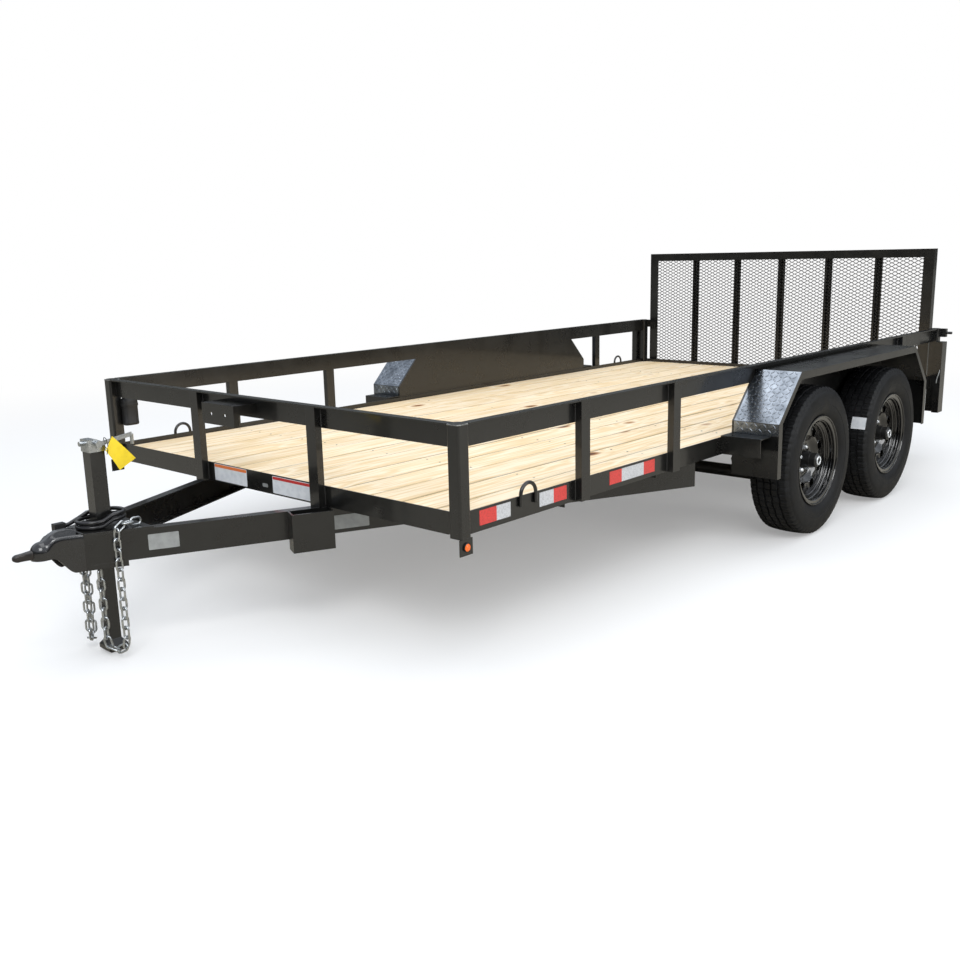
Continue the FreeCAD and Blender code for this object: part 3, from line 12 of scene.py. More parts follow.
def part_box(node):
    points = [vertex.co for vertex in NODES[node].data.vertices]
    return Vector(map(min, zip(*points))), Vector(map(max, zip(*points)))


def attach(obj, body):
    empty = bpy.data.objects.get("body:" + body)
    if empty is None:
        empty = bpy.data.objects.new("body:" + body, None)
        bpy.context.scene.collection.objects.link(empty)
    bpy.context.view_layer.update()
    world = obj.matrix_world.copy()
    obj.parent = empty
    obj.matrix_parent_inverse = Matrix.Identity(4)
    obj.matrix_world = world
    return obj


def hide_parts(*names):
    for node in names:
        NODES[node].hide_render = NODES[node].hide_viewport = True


bl_info = {
    "name": "Utility Trailer",
    "version": (1, 0, 0),
    "blender": (4, 5, 0),
    "location": "View3D > Sidebar > Trailer",
    "description": "Finishes, tyres, deck, gate mesh and fittings of a utility trailer",
    "category": "Object",
}

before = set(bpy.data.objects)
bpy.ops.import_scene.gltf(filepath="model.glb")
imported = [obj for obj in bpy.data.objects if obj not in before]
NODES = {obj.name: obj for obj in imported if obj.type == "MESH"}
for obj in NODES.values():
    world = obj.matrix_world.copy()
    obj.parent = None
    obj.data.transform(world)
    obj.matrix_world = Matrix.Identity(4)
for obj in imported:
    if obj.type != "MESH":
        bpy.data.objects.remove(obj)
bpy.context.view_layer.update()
SIDES = (("left", 1), ("right", -1))
ROWS = ("front", "rear")
MM = 0.001
X, Y, Z = np.eye(3)

# The rim's radii: the tyre's seat, the flange's edge and the well between the seats
BEAD, FLANGE, WELL = 0.190, 0.208, 0.166


# Sizes and colours that a user would change
class TrailerSizes(bpy.types.PropertyGroup):
    mesh_length: bpy.props.FloatProperty(
        name="Mesh length", description="Long way of one diamond of the gate's expanded metal",
        default=0.046, unit="LENGTH")
    mesh_height: bpy.props.FloatProperty(
        name="Mesh height", description="Short way of one diamond of the gate's expanded metal",
        default=0.022, unit="LENGTH")
    lozenge_pitch: bpy.props.FloatProperty(
        name="Tread pitch", description="Distance between the raised bars of the tread plate",
        default=0.0215, unit="LENGTH")
    tape_height: bpy.props.FloatProperty(
        name="Tape height", description="Height of the reflective tape on the side frames",
        default=0.05, unit="LENGTH")


class TrailerColours(bpy.types.PropertyGroup):
    enamel: bpy.props.StringProperty(
        name="Enamel", description="Black enamel on the frame, as an sRGB hex value",
        default="0D0D0D")
    timber: bpy.props.StringProperty(
        name="Timber", description="Pale wood of the deck boards, as an sRGB hex value",
        default="EFD6AF")
    tape_red: bpy.props.StringProperty(
        name="Tape red", description="Red of the reflective tape, as an sRGB hex value",
        default="D8332E")
    tape_white: bpy.props.StringProperty(
        name="Tape white", description="White of the reflective tape, as an sRGB hex value",
        default="C9CACB")
    tag: bpy.props.StringProperty(
        name="Tag", description="Yellow of the tag on the jack, as an sRGB hex value",
        default="F2D21B")


def linear(code):
    """An sRGB hex value as linear red, green, blue and alpha."""
    parts = np.array([int(code[at:at + 2], 16) for at in (0, 2, 4)]) / 255
    curved = np.where(parts <= 0.04045, parts / 12.92, ((parts + 0.055) / 1.055) ** 2.4)
    return (*curved.tolist(), 1.0)


# Materials
def add(tree, kind, settings):
    """Adds one node and gives its outputs. A setting is a property, the stops of a colour ramp,
    or an input by name or number, which takes a value or another node's output."""
    node = tree.nodes.new(kind)
    for name, value in settings.items():
        if name == "stops":
            marks = node.color_ramp.elements
            while len(marks) < len(value):
                marks.new(0.5)
            for mark, (position, code) in zip(marks, value):
                mark.position = position
                mark.color = linear(code)
        elif isinstance(value, bpy.types.NodeSocket):
            tree.links.new(value, node.inputs[name])
        elif isinstance(name, int) or name in node.inputs:
            node.inputs[name].default_value = value
        else:
            setattr(node, name, value)
    return node.outputs


def material(name):
    """A material with an empty node tree, that tree, and its object coordinates."""
    found = bpy.data.materials.get(name)
    if found:
        bpy.data.materials.remove(found)
    made = bpy.data.materials.new(name)
    made.use_nodes = True
    tree = made.node_tree
    tree.nodes.clear()
    return made, tree, add(tree, "ShaderNodeTexCoord", {})["Object"]


def enamel(name, code, dusty, roughness, coat, soft_edge):
    """Enamel sprayed on rolled steel. Orange peel, 4 mm wide, ripples its clear reflections,
    paint rounds its edges, and marks and dust, 150 mm wide, dull it in patches."""
    made, tree, place = material(name)
    peel = add(tree, "ShaderNodeTexNoise", {
        "Vector": place, "Scale": 1 / (4 * MM), "Detail": 2.0})
    marks = add(tree, "ShaderNodeTexNoise", {
        "Vector": place, "Scale": 1 / (150 * MM), "Detail": 6.0, "Roughness": 0.66})
    colour = add(tree, "ShaderNodeValToRGB", {
        "Fac": marks["Fac"], "stops": ((0.42, code), (0.8, dusty))})
    dull = add(tree, "ShaderNodeMapRange", {
        "Value": marks["Fac"], "From Min": 0.35, "From Max": 0.75,
        "To Min": roughness, "To Max": roughness + 0.16})
    edge = add(tree, "ShaderNodeBevel", {"Radius": soft_edge, "samples": 4})
    relief = add(tree, "ShaderNodeBump", {
        "Height": peel["Fac"], "Strength": 0.3, "Distance": 0.05 * MM, "Normal": edge["Normal"]})
    shader = add(tree, "ShaderNodeBsdfPrincipled", {
        "Base Color": colour["Color"], "Roughness": dull["Result"], "Coat Weight": coat,
        "Coat Roughness": 0.08, "Normal": relief["Normal"]})
    add(tree, "ShaderNodeOutputMaterial", {"Surface": shader["BSDF"]})
    return made


def metal(name, code, stain, roughness, grain):
    """Bare or plated metal. Its plating is mottled at the width of its grain in metres, so it
    goes from bright to grey, and its faint relief scatters the highlights."""
    made, tree, place = material(name)
    mottle = add(tree, "ShaderNodeTexNoise", {
        "Vector": place, "Scale": 1 / grain, "Detail": 6.0, "Roughness": 0.7})
    colour = add(tree, "ShaderNodeValToRGB", {
        "Fac": mottle["Fac"], "stops": ((0.3, code), (0.72, stain))})
    dull = add(tree, "ShaderNodeMapRange", {
        "Value": mottle["Fac"], "From Min": 0.3, "From Max": 0.7,
        "To Min": roughness, "To Max": roughness + 0.15})
    relief = add(tree, "ShaderNodeBump", {
        "Height": mottle["Fac"], "Strength": 0.3, "Distance": 0.1 * MM})
    shader = add(tree, "ShaderNodeBsdfPrincipled", {
        "Base Color": colour["Color"], "Metallic": 1.0, "Roughness": dull["Result"],
        "Normal": relief["Normal"]})
    add(tree, "ShaderNodeOutputMaterial", {"Surface": shader["BSDF"]})
    return made


def rubber(name, code, dusty):
    """Moulded tyre rubber, nearly matt. Road dust, 60 mm wide, greys it in patches, and a grain
    of 1.6 mm, coarser than the real one so that it shows, breaks its sheen."""
    made, tree, place = material(name)
    dust = add(tree, "ShaderNodeTexNoise", {
        "Vector": place, "Scale": 1 / (60 * MM), "Detail": 6.0})
    grain = add(tree, "ShaderNodeTexNoise", {
        "Vector": place, "Scale": 1 / (1.6 * MM), "Detail": 2.0})
    colour = add(tree, "ShaderNodeValToRGB", {
        "Fac": dust["Fac"], "stops": ((0.38, code), (0.72, dusty))})
    dull = add(tree, "ShaderNodeMapRange", {
        "Value": dust["Fac"], "From Min": 0.3, "From Max": 0.7, "To Min": 0.48, "To Max": 0.66})
    relief = add(tree, "ShaderNodeBump", {
        "Height": grain["Fac"], "Strength": 0.4, "Distance": 0.15 * MM})
    shader = add(tree, "ShaderNodeBsdfPrincipled", {
        "Base Color": colour["Color"], "Roughness": dull["Result"], "Specular IOR Level": 0.3,
        "Normal": relief["Normal"]})
    add(tree, "ShaderNodeOutputMaterial", {"Surface": shader["BSDF"]})
    return made


def pine(name, code):
    """Planed pine boards: pale, with long darker grain, a tone of its own for each board and a
    few brown knots that the grain runs round. The board attribute is a chance number in its
    colour, which moves the pattern, and in its alpha painted shade: full brightness on a
    board's top and 0.3 on its sawn sides and underside, for the shade in the gaps between boards."""
    made, tree, place = material(name)
    board = add(tree, "ShaderNodeAttribute", {"attribute_name": "board"})
    shift = add(tree, "ShaderNodeVectorMath", {
        "operation": "SCALE", 0: board["Color"], "Scale": 7.0})
    moved = add(tree, "ShaderNodeVectorMath", {
        "operation": "ADD", 0: place, 1: shift["Vector"]})["Vector"]
    # Knots lie about 0.4 m apart along a board and pull the grain round them
    spots = add(tree, "ShaderNodeMapping", {"Vector": moved, "Scale": (4.6, 2.4, 3.4)})
    knot = add(tree, "ShaderNodeTexVoronoi", {
        "Vector": spots["Vector"], "Scale": 1.0, "Randomness": 1.0})["Distance"]
    swirl = add(tree, "ShaderNodeMapRange", {
        "Value": knot, "From Min": 0.0, "From Max": 0.34, "To Min": 1.0, "To Max": 0.0})
    # Growth rings cut lengthways, 6 to 9 mm apart across the board and over a metre long: the
    # sine of a stretched noise
    stretch = add(tree, "ShaderNodeMapping", {"Vector": moved, "Scale": (16.0, 0.75, 16.0)})
    flow = add(tree, "ShaderNodeTexNoise", {
        "Vector": stretch["Vector"], "Scale": 1.0, "Detail": 3.0, "Distortion": 0.25})
    bent = add(tree, "ShaderNodeMath", {
        "operation": "MULTIPLY_ADD", 0: swirl["Result"], 1: 0.22, 2: flow["Fac"]})
    rings = add(tree, "ShaderNodeMath", {"operation": "MULTIPLY", 0: bent["Value"], 1: 46.0})
    wave = add(tree, "ShaderNodeMath", {"operation": "SINE", 0: rings["Value"]})
    grain = add(tree, "ShaderNodeMapRange", {
        "Value": wave["Value"], "From Min": -1.0, "From Max": 1.0, "To Min": 0.0, "To Max": 1.0})
    # Fibres 1.6 mm across and 110 mm long
    fine = add(tree, "ShaderNodeMapping", {"Vector": moved, "Scale": (620.0, 9.0, 620.0)})
    fibre = add(tree, "ShaderNodeTexNoise", {
        "Vector": fine["Vector"], "Scale": 1.0, "Detail": 3.0})
    blend = add(tree, "ShaderNodeMix", {
        "data_type": "FLOAT", "Factor": 0.35, "A": grain["Result"], "B": fibre["Fac"]})
    wood = add(tree, "ShaderNodeValToRGB", {
        "Fac": blend["Result"], "stops": ((0.05, "E2C592"), (0.45, code), (0.85, "F6E6CA"))})
    tone = add(tree, "ShaderNodeMapRange", {
        "Value": board["Fac"], "To Min": 0.93, "To Max": 1.05})
    tinted = add(tree, "ShaderNodeVectorMath", {
        "operation": "SCALE", 0: wood["Color"], "Scale": tone["Result"]})
    heart = add(tree, "ShaderNodeValToRGB", {
        "Fac": knot, "stops": ((0.035, "5A3416"), (0.08, "A97C48"), (0.15, "FFFFFF"))})
    marked = add(tree, "ShaderNodeMix", {
        "data_type": "RGBA", "blend_type": "MULTIPLY", "Factor": 1.0,
        "A": tinted["Vector"], "B": heart["Color"]})
    # Painted shade: the sides and underside of each board are darkened to the alpha's 0.3, for the
    # shade in the gaps
    edge_shaded = add(tree, "ShaderNodeVectorMath", {
        "operation": "SCALE", 0: marked["Result"], "Scale": board["Alpha"]})
    relief = add(tree, "ShaderNodeBump", {
        "Height": blend["Result"], "Strength": 0.5, "Distance": 0.35 * MM})
    shader = add(tree, "ShaderNodeBsdfPrincipled", {
        "Base Color": edge_shaded["Vector"], "Roughness": 0.62, "Normal": relief["Normal"]})
    add(tree, "ShaderNodeOutputMaterial", {"Surface": shader["BSDF"]})
    return made


def plain(name, code, roughness, metallic=0.0, coat=0.0, speck="000000", speck_share=0.08):
    """A moulded, printed or polished surface. Clouds 25 mm wide mix a second colour into it and
    raise it a little, so that it isn't one flat tone."""
    made, tree, place = material(name)
    cloud = add(tree, "ShaderNodeTexNoise", {
        "Vector": place, "Scale": 1 / (25 * MM), "Detail": 4.0})
    share = add(tree, "ShaderNodeMapRange", {
        "Value": cloud["Fac"], "From Min": 0.4, "From Max": 0.8,
        "To Min": 0.0, "To Max": speck_share})
    colour = add(tree, "ShaderNodeMix", {
        "data_type": "RGBA", "Factor": share["Result"], "A": linear(code), "B": linear(speck)})
    relief = add(tree, "ShaderNodeBump", {
        "Height": cloud["Fac"], "Strength": 0.25, "Distance": 0.08 * MM})
    shader = add(tree, "ShaderNodeBsdfPrincipled", {
        "Base Color": colour["Result"], "Roughness": roughness, "Metallic": metallic,
        "Coat Weight": coat, "Normal": relief["Normal"]})
    add(tree, "ShaderNodeOutputMaterial", {"Surface": shader["BSDF"]})
    return made


def honeycomb_tape(name, code):
    """Retroreflective sheet: cells about 4 mm across under a clear film, whose walls draw a
    fine grey net over its colour."""
    made, tree, place = material(name)
    cells = add(tree, "ShaderNodeTexVoronoi", {
        "feature": "DISTANCE_TO_EDGE", "Vector": place, "Scale": 1 / (4 * MM),
        "Randomness": 0.15})
    wall = add(tree, "ShaderNodeValToRGB", {
        "Fac": cells["Distance"], "stops": ((0.02, "8E8A88"), (0.09, "FFFFFF"))})
    colour = add(tree, "ShaderNodeMix", {
        "data_type": "RGBA", "blend_type": "MULTIPLY", "Factor": 0.45,
        "A": linear(code), "B": wall["Color"]})
    relief = add(tree, "ShaderNodeBump", {
        "Height": cells["Distance"], "Strength": 0.3, "Distance": 0.1 * MM})
    shader = add(tree, "ShaderNodeBsdfPrincipled", {
        "Base Color": colour["Result"], "Roughness": 0.35, "Coat Weight": 0.6,
        "Normal": relief["Normal"]})
    add(tree, "ShaderNodeOutputMaterial", {"Surface": shader["BSDF"]})
    return made


FINISHES = {}


def make_finishes(colours):
    """Every finish of the trailer, by the name of what it is."""
    FINISHES.update({
        "enamel": enamel("black_enamel", colours.enamel, "191917", 0.24, 0.5, 1.6 * MM),
        "gloss": enamel("gloss_black_enamel", "0A0A0A", "141312", 0.13, 0.9, 1.2 * MM),
        "pressed": enamel("pressed_steel_enamel", "0D0D0E", "1B1C1E", 0.2, 0.8, 2 * MM),
        "cast": enamel("painted_cast_iron", "151515", "24221F", 0.4, 0.2, 1.5 * MM),
        "worn": enamel("worn_black_steel", "12100F", "3A2A20", 0.34, 0.3, 1.5 * MM),
        "weld": enamel("painted_weld", "0E0E0E", "1C1B19", 0.3, 0.4, 0.5 * MM),
        "tread_plate": metal("tread_plate", "9EA5AE", "60666E", 0.2, 70 * MM),
        "zinc": metal("zinc_plate", "D3D6D8", "9DA2A4", 0.22, 12 * MM),
        "screw": metal("screw_steel", "6C6A62", "4A463F", 0.4, 5 * MM),
        "rubber": rubber("tyre_rubber", "0A0B0D", "161719"),
        "pine": pine("pine_board", colours.timber),
        "red": honeycomb_tape("red_tape", colours.tape_red),
        "white": honeycomb_tape("white_tape", colours.tape_white),
        # Painted highlight: the corner posts' lips are light grey, clouded dark over much of them,
        # standing for reflections on glossy black
        "lip": plain("painted_highlight_lip", "7E7E7A", 0.2, 0.3, 0.8, "2A2A28", 0.9),
        # Painted reflection: chrome as a pale grey, only partly metallic surface, so nuts and ring
        # look bright whatever they face
        "chrome": plain("chrome_painted_reflection", "DCDFE1", 0.22, 0.45, 0.6, "A9ADB0", 0.4),
        "label": plain("printed_film", "E4E6E8", 0.45, 0.0, 0.3, "9AA4AE", 0.35),
        "tag": plain("yellow_card", colours.tag, 0.5, 0.0, 0.2, "C29F00", 0.3),
        "plastic": plain("black_plastic", "141415", 0.45, 0.0, 0.0, "2A2A2A", 0.5),
        "amber": plain("amber_lens", "F26A0E", 0.12, 0.0, 1.0, "B53A00", 0.5),
        "red_lens": plain("red_lens", "A50F12", 0.12, 0.0, 1.0, "5E0507", 0.5),
        "cable": plain("cable_jacket", "101012", 0.3, 0.0, 0.3, "222226", 0.4),
        "band": plain("orange_film", "E8772A", 0.45, 0.0, 0.3, "D85A1B", 0.4),
        "red_band": plain("red_film", "C9302B", 0.45, 0.0, 0.3, "A8201E", 0.4),
        "grey_film": plain("grey_film", "9A9C9A", 0.4, 0.2, 0.3, "6F716F", 0.5),
    })


# The finish of each node of the frame, by how its name starts; the first that fits holds
NODE_FINISH = {
    "gloss": ("rim_",),
    "cast": ("hub_", "axles", "brake_shields", "springs", "equalizers", "shackles"),
    "worn": ("coupler_latch",),
    "pressed": ("coupler",),
    "zinc": ("jack_head", "jack_crank", "safety_chains"),
    "amber": ("marker_lamps",),
    "red_lens": ("tail_lamps",),
    "plastic": ("paper_holder", "lead_gland", "lead_plug"),
    "cable": ("wiring_lead",),
    "rubber": ("tyre_",),
    "pine": ("deck_boards",),
    "enamel": ("",),
}


# Shapes: an array of points and an array of faces, whose rows have three or four corners
def mesh_piece(name, shape, finish, body, smooth=30.0, stands_for=None):
    """A piece of closed shells with its faces turned outward. It is smooth up to an angle in
    degrees between faces, or flat at 0, and may stand for a node of the frame."""
    points = np.ascontiguousarray(shape[0], np.float32).reshape(-1, 3)
    faces = np.ascontiguousarray(shape[1], np.int32)
    mesh = bpy.data.meshes.new(name)
    mesh.vertices.add(len(points))
    mesh.vertices.foreach_set("co", points.ravel())
    mesh.loops.add(faces.size)
    mesh.loops.foreach_set("vertex_index", faces.ravel())
    mesh.polygons.add(len(faces))
    mesh.polygons.foreach_set("loop_start", np.arange(0, faces.size, faces.shape[1]))
    mesh.update(calc_edges=True)
    mesh.validate()
    if smooth:
        mesh.shade_smooth()
        mesh.set_sharp_from_angle(angle=math.radians(smooth))
    else:
        mesh.shade_flat()
    work = bmesh.new()
    work.from_mesh(mesh)
    bmesh.ops.recalc_face_normals(work, faces=work.faces)
    work.to_mesh(mesh)
    work.free()
    mesh.materials.append(FINISHES[finish])
    piece = bpy.data.objects.new(name, mesh)
    bpy.context.scene.collection.objects.link(piece)
    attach(piece, body)
    if stands_for:
        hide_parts(stands_for)
    return piece


def corners_of(node):
    """The vertices of a node of the frame."""
    mesh = NODES[node].data
    spots = np.zeros(len(mesh.vertices) * 3, np.float32)
    mesh.vertices.foreach_get("co", spots)
    return spots.reshape(-1, 3).astype(float)


def ease(value, start, run):
    """A smooth step from 0 at start to 1 a run later: 3s^2 - 2s^3."""
    share = np.clip((value - start) / run, 0, 1)
    return share * share * (3 - 2 * share)


def circle(count):
    """The cosine and sine of each step of a full turn."""
    turn = math.tau * np.arange(count) / count
    return np.stack([np.cos(turn), np.sin(turn)], -1)


def squared_circle(count):
    """A circle drawn out towards its square: cosine and sine, each to the power 0.62."""
    round_one = circle(count)
    return np.sign(round_one) * np.abs(round_one) ** 0.62


def rounded_loop(corners, radius, steps=4):
    """A closed outline whose corners are rounded by curves of up to a radius."""
    corners = np.asarray(corners, float)
    rows = []
    for at, spot in enumerate(corners):
        back, ahead = corners[at - 1] - spot, corners[(at + 1) % len(corners)] - spot
        trim = min(radius, 0.45 * np.linalg.norm(back), 0.45 * np.linalg.norm(ahead))
        start = spot + back / np.linalg.norm(back) * trim
        end = spot + ahead / np.linalg.norm(ahead) * trim
        share = np.linspace(0, 1, steps + 1)[:, None]
        rows.append(start * (1 - share) ** 2 + spot * 2 * share * (1 - share) + end * share ** 2)
    return np.concatenate(rows)


def grid_faces(rows, columns, close_rows=False, close_columns=False):
    """Quads over a grid of points numbered row by row, wrapped round where it closes."""
    row = np.arange(rows if close_rows else rows - 1)
    column = np.arange(columns if close_columns else columns - 1)
    row, column = np.meshgrid(row, column, indexing="ij")
    after_row, after_column = (row + 1) % rows, (column + 1) % columns
    return np.stack([row * columns + column, row * columns + after_column,
                     after_row * columns + after_column, after_row * columns + column],
                    -1).reshape(-1, 4)


def triangles(quads):
    """Each quad as two triangles."""
    return np.concatenate([quads[:, [0, 1, 2]], quads[:, [0, 2, 3]]])


def joined(shapes):
    """Several shapes as one, with the faces renumbered."""
    starts = np.cumsum([0] + [len(np.reshape(points, (-1, 3))) for points, _ in shapes])
    return (np.concatenate([np.reshape(points, (-1, 3)) for points, _ in shapes]),
            np.concatenate([faces + start for (_, faces), start in zip(shapes, starts)]))


def copies(shape, places, turns=None):
    """A small shape set down at many places, each turned by its own matrix."""
    points, faces = shape
    turned = points[None] if turns is None else np.einsum("nij,pj->npi", turns, points)
    shift = np.arange(len(places))[:, None, None] * len(points)
    return ((turned + np.asarray(places)[:, None]).reshape(-1, 3),
            (faces[None] + shift).reshape(-1, faces.shape[1]))


def merged(points, faces):
    """The same faces on points that are each kept once, to a tenth of a micron; faces that
    lose a corner go."""
    kept, index = np.unique(np.round(points, 7), axis=0, return_inverse=True)
    faces = index.reshape(-1)[faces]
    return kept, faces[(np.diff(np.sort(faces, 1), axis=1) > 0).all(1)]


def revolved(profile, steps, centre=(0, 0, 0)):
    """A profile of distance along X and radius, turned about the line through centre."""
    along, radius = np.asarray(profile, float).T
    cos, sin = circle(steps).T[..., None]
    return np.stack([np.broadcast_to(along, (steps, len(along))), radius * cos, radius * sin],
                    -1) + np.asarray(centre)


def ring(section, steps, centre=(0, 0, 0)):
    """A closed section turned about an axle."""
    return (revolved(section, steps, centre).reshape(-1, 3),
            grid_faces(steps, len(section), True, True))


def capped(rings, tip=None):
    """Rings set one after another as a closed skin, with a fan of triangles at each end."""
    rows, columns = rings.shape[:2]
    tip = rings[-1].mean(0) if tip is None else tip
    count = np.arange(columns)
    after, last = (count + 1) % columns, (rows - 1) * columns
    pole = np.full(columns, rows * columns)
    return (np.concatenate([rings.reshape(-1, 3), rings[:1].mean(1), [tip]]),
            np.concatenate([triangles(grid_faces(rows, columns, close_columns=True)),
                            np.stack([after, count, pole], -1),
                            np.stack([last + count, last + after, pole + 1], -1)]))


def turned_solid(profile, steps, centre=(0, 0, 0)):
    """A profile turned about an axle and closed at both ends."""
    return capped(revolved(profile, steps, centre).transpose(1, 0, 2))


def slab(front, back):
    """A closed sheet between two grids of points of the same shape."""
    rows, columns = front.shape[:2]
    count = rows * columns
    index = np.arange(count).reshape(rows, columns)
    edge = np.concatenate([index[0, :-1], index[:-1, -1], index[-1, :0:-1], index[:0:-1, 0]])
    after = np.roll(edge, -1)
    grid = grid_faces(rows, columns)
    return (np.concatenate([front.reshape(-1, 3), back.reshape(-1, 3)]),
            np.concatenate([grid, grid[:, ::-1] + count,
                            np.stack([edge, after, after + count, edge + count], -1)]))


def box_shape(low, high):
    """A box between two corners."""
    low, high = np.asarray(low, float), np.asarray(high, float)
    pick = np.array([[0, 0, 0], [1, 0, 0], [1, 1, 0], [0, 1, 0],
                     [0, 0, 1], [1, 0, 1], [1, 1, 1], [0, 1, 1]])
    return low + pick * (high - low), np.array([[0, 3, 2, 1], [4, 5, 6, 7], [0, 1, 5, 4],
                                                [1, 2, 6, 5], [2, 3, 7, 6], [3, 0, 4, 7]])


def hexagon(levels):
    """A nut or a bolt's head from its levels, as distance along X and radius of its corners."""
    lids = np.array([[0, 1, 2, 3], [0, 3, 4, 5]])
    return (revolved(levels, 6).transpose(1, 0, 2).reshape(-1, 3),
            np.concatenate([grid_faces(len(levels), 6, close_columns=True),
                            lids + (len(levels) - 1) * 6, lids[:, ::-1]]))


def thin_rod(name, spots, radius, finish):
    """A round rod along a smooth line through its spots: a cubic between each two, whose slope
    at a spot is half the way from the spot before it to the one after. Each ring's side is the
    last one's, made square to the line, so the rod doesn't twist."""
    spots = np.asarray(spots, float)
    ends = np.concatenate([[spots[0] * 2 - spots[1]], spots, [spots[-1] * 2 - spots[-2]]])
    a, b, c, d = (ends[at:len(ends) - 3 + at, None] for at in range(4))
    share = np.linspace(0, 1, 7)[:-1, None]
    curve = 0.5 * (2 * b + (c - a) * share + (2 * a - 5 * b + 4 * c - d) * share ** 2
                   + (3 * b - a - 3 * c + d) * share ** 3)
    line = np.concatenate([curve.reshape(-1, 3), spots[-1:]])
    along = np.gradient(line, axis=0)
    along /= np.linalg.norm(along, axis=1)[:, None]
    side, sides = np.cross(along[0], (0.3, 0.2, 0.93)), []
    for heading in along:
        side = side - heading * side.dot(heading)
        side /= np.linalg.norm(side)
        sides.append(side)
    cos, sin = circle(8).T[..., None]
    rings = line[:, None] + radius * (np.array(sides)[:, None] * cos
                                      + np.cross(along, sides)[:, None] * sin)
    return mesh_piece(name, capped(rings), finish, "chassis", 40)


# Deck
def make_boards():
    """Each board is a section with eased corners, carried from end to end and a little bowed:
    its top rises and falls by a slow sine. The outer two are notched round the corner posts."""
    low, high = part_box("deck_boards")
    count, gap, corner, notch, step = 13, 0.007, 0.0045, 0.0235, 0.0005
    # Painted shade in the board attribute's alpha: a board's top keeps its colour, its sides and
    # underside are darkened to 0.3
    top_light, edge_light = 1.0, 0.3
    pitch = (high.x - low.x + gap) / count
    chance = np.random.default_rng(7)
    lengths = np.sort(np.concatenate([
        np.linspace(low.y, high.y, 19),
        [low.y + notch, low.y + notch + step, high.y - notch, high.y - notch - step]]))
    ends = ((lengths < low.y + notch + 0.4 * step)
            | (lengths > high.y - notch - 0.4 * step))[:, None]
    up = np.array([low.z, low.z, low.z + corner, high.z - corner, high.z, high.z,
                   high.z - corner, low.z + corner])
    light = np.where(up == high.z, top_light, edge_light)
    caps = np.array([[0, 1, 4, 5], [1, 2, 3, 4], [0, 5, 6, 7]])
    faces = np.concatenate([grid_faces(len(lengths), 8, close_columns=True)[:, ::-1],
                            caps[:, ::-1], caps + (len(lengths) - 1) * 8])
    boards, tones = [], []
    for row in range(count):
        first = low.x + pitch * row
        last = first + pitch - gap
        across = np.array([first + corner, last - corner, last, last, last - corner,
                           first + corner, first, first])
        bow = 0.0007 * np.sin(lengths * chance.uniform(1.2, 2.6) + chance.uniform(0, 6)) - 0.0008
        section = np.zeros((len(lengths), 8, 3))
        section[:, :, 0] = across
        section[:, :, 1] = lengths[:, None]
        section[:, :, 2] = up + bow[:, None] * (up > low.z + 0.01)
        if row == 0:
            section[:, :, 0] = np.where(ends, np.maximum(across, first + notch), across)
        if row == count - 1:
            section[:, :, 0] = np.where(ends, np.minimum(across, last - notch), across)
        boards.append((section, faces))
        tone = np.ones((len(lengths), 8, 4))
        tone[..., :3] = chance.random(3)
        tone[..., 3] = light
        tones.append(tone)
    piece = mesh_piece("deck_timber", joined(boards), "pine", "chassis", 35,
                       "deck_boards")
    paint = piece.data.attributes.new("board", "FLOAT_COLOR", "POINT")
    paint.data.foreach_set("color", np.array(tones, np.float32).ravel())

    # Screws in pairs where a board crosses a joist, their heads a little under the surface
    joists = np.array([low.y + 0.02, *(-1.0797 + 0.6102 * np.arange(6)), high.y - 0.02])
    apart, clear, sunk, stray = 0.045, notch + 0.012, 0.0006, 0.004
    places = []
    for row in range(count):
        middle = low.x + pitch * (row + 0.5) - gap / 2
        for shift in (-apart, apart):
            x = np.full(len(joists), middle + shift) + chance.normal(0, stray, len(joists))
            y = joists + chance.normal(0, stray, len(joists))
            if row in (0, count - 1):
                y = np.clip(y, low.y + clear, high.y - clear)
            places.append(np.stack([x, y, np.full(len(joists), high.z - sunk)], -1))
    # From the foot of the head up its side, in over its rim and down into its recess
    levels = np.array([(0.0045, -0.003), (0.0045, 0.0), (0.0022, 0.0), (0.0016, -0.0016)])
    head = np.concatenate([np.broadcast_to(circle(8), (4, 8, 2)) * levels[:, :1, None],
                           np.broadcast_to(levels[:, 1:, None], (4, 8, 1))], -1).reshape(-1, 3)
    recess = np.array([[24, 25, 26, 27], [24, 27, 28, 31], [28, 29, 30, 31]])
    foot = np.array([[0, 3, 2, 1], [0, 7, 4, 3], [7, 6, 5, 4]])
    screw = (head, np.concatenate([grid_faces(4, 8, close_columns=True), recess, foot]))
    mesh_piece("deck_screws", copies(screw, np.concatenate(places)), "screw", "chassis",
               40)


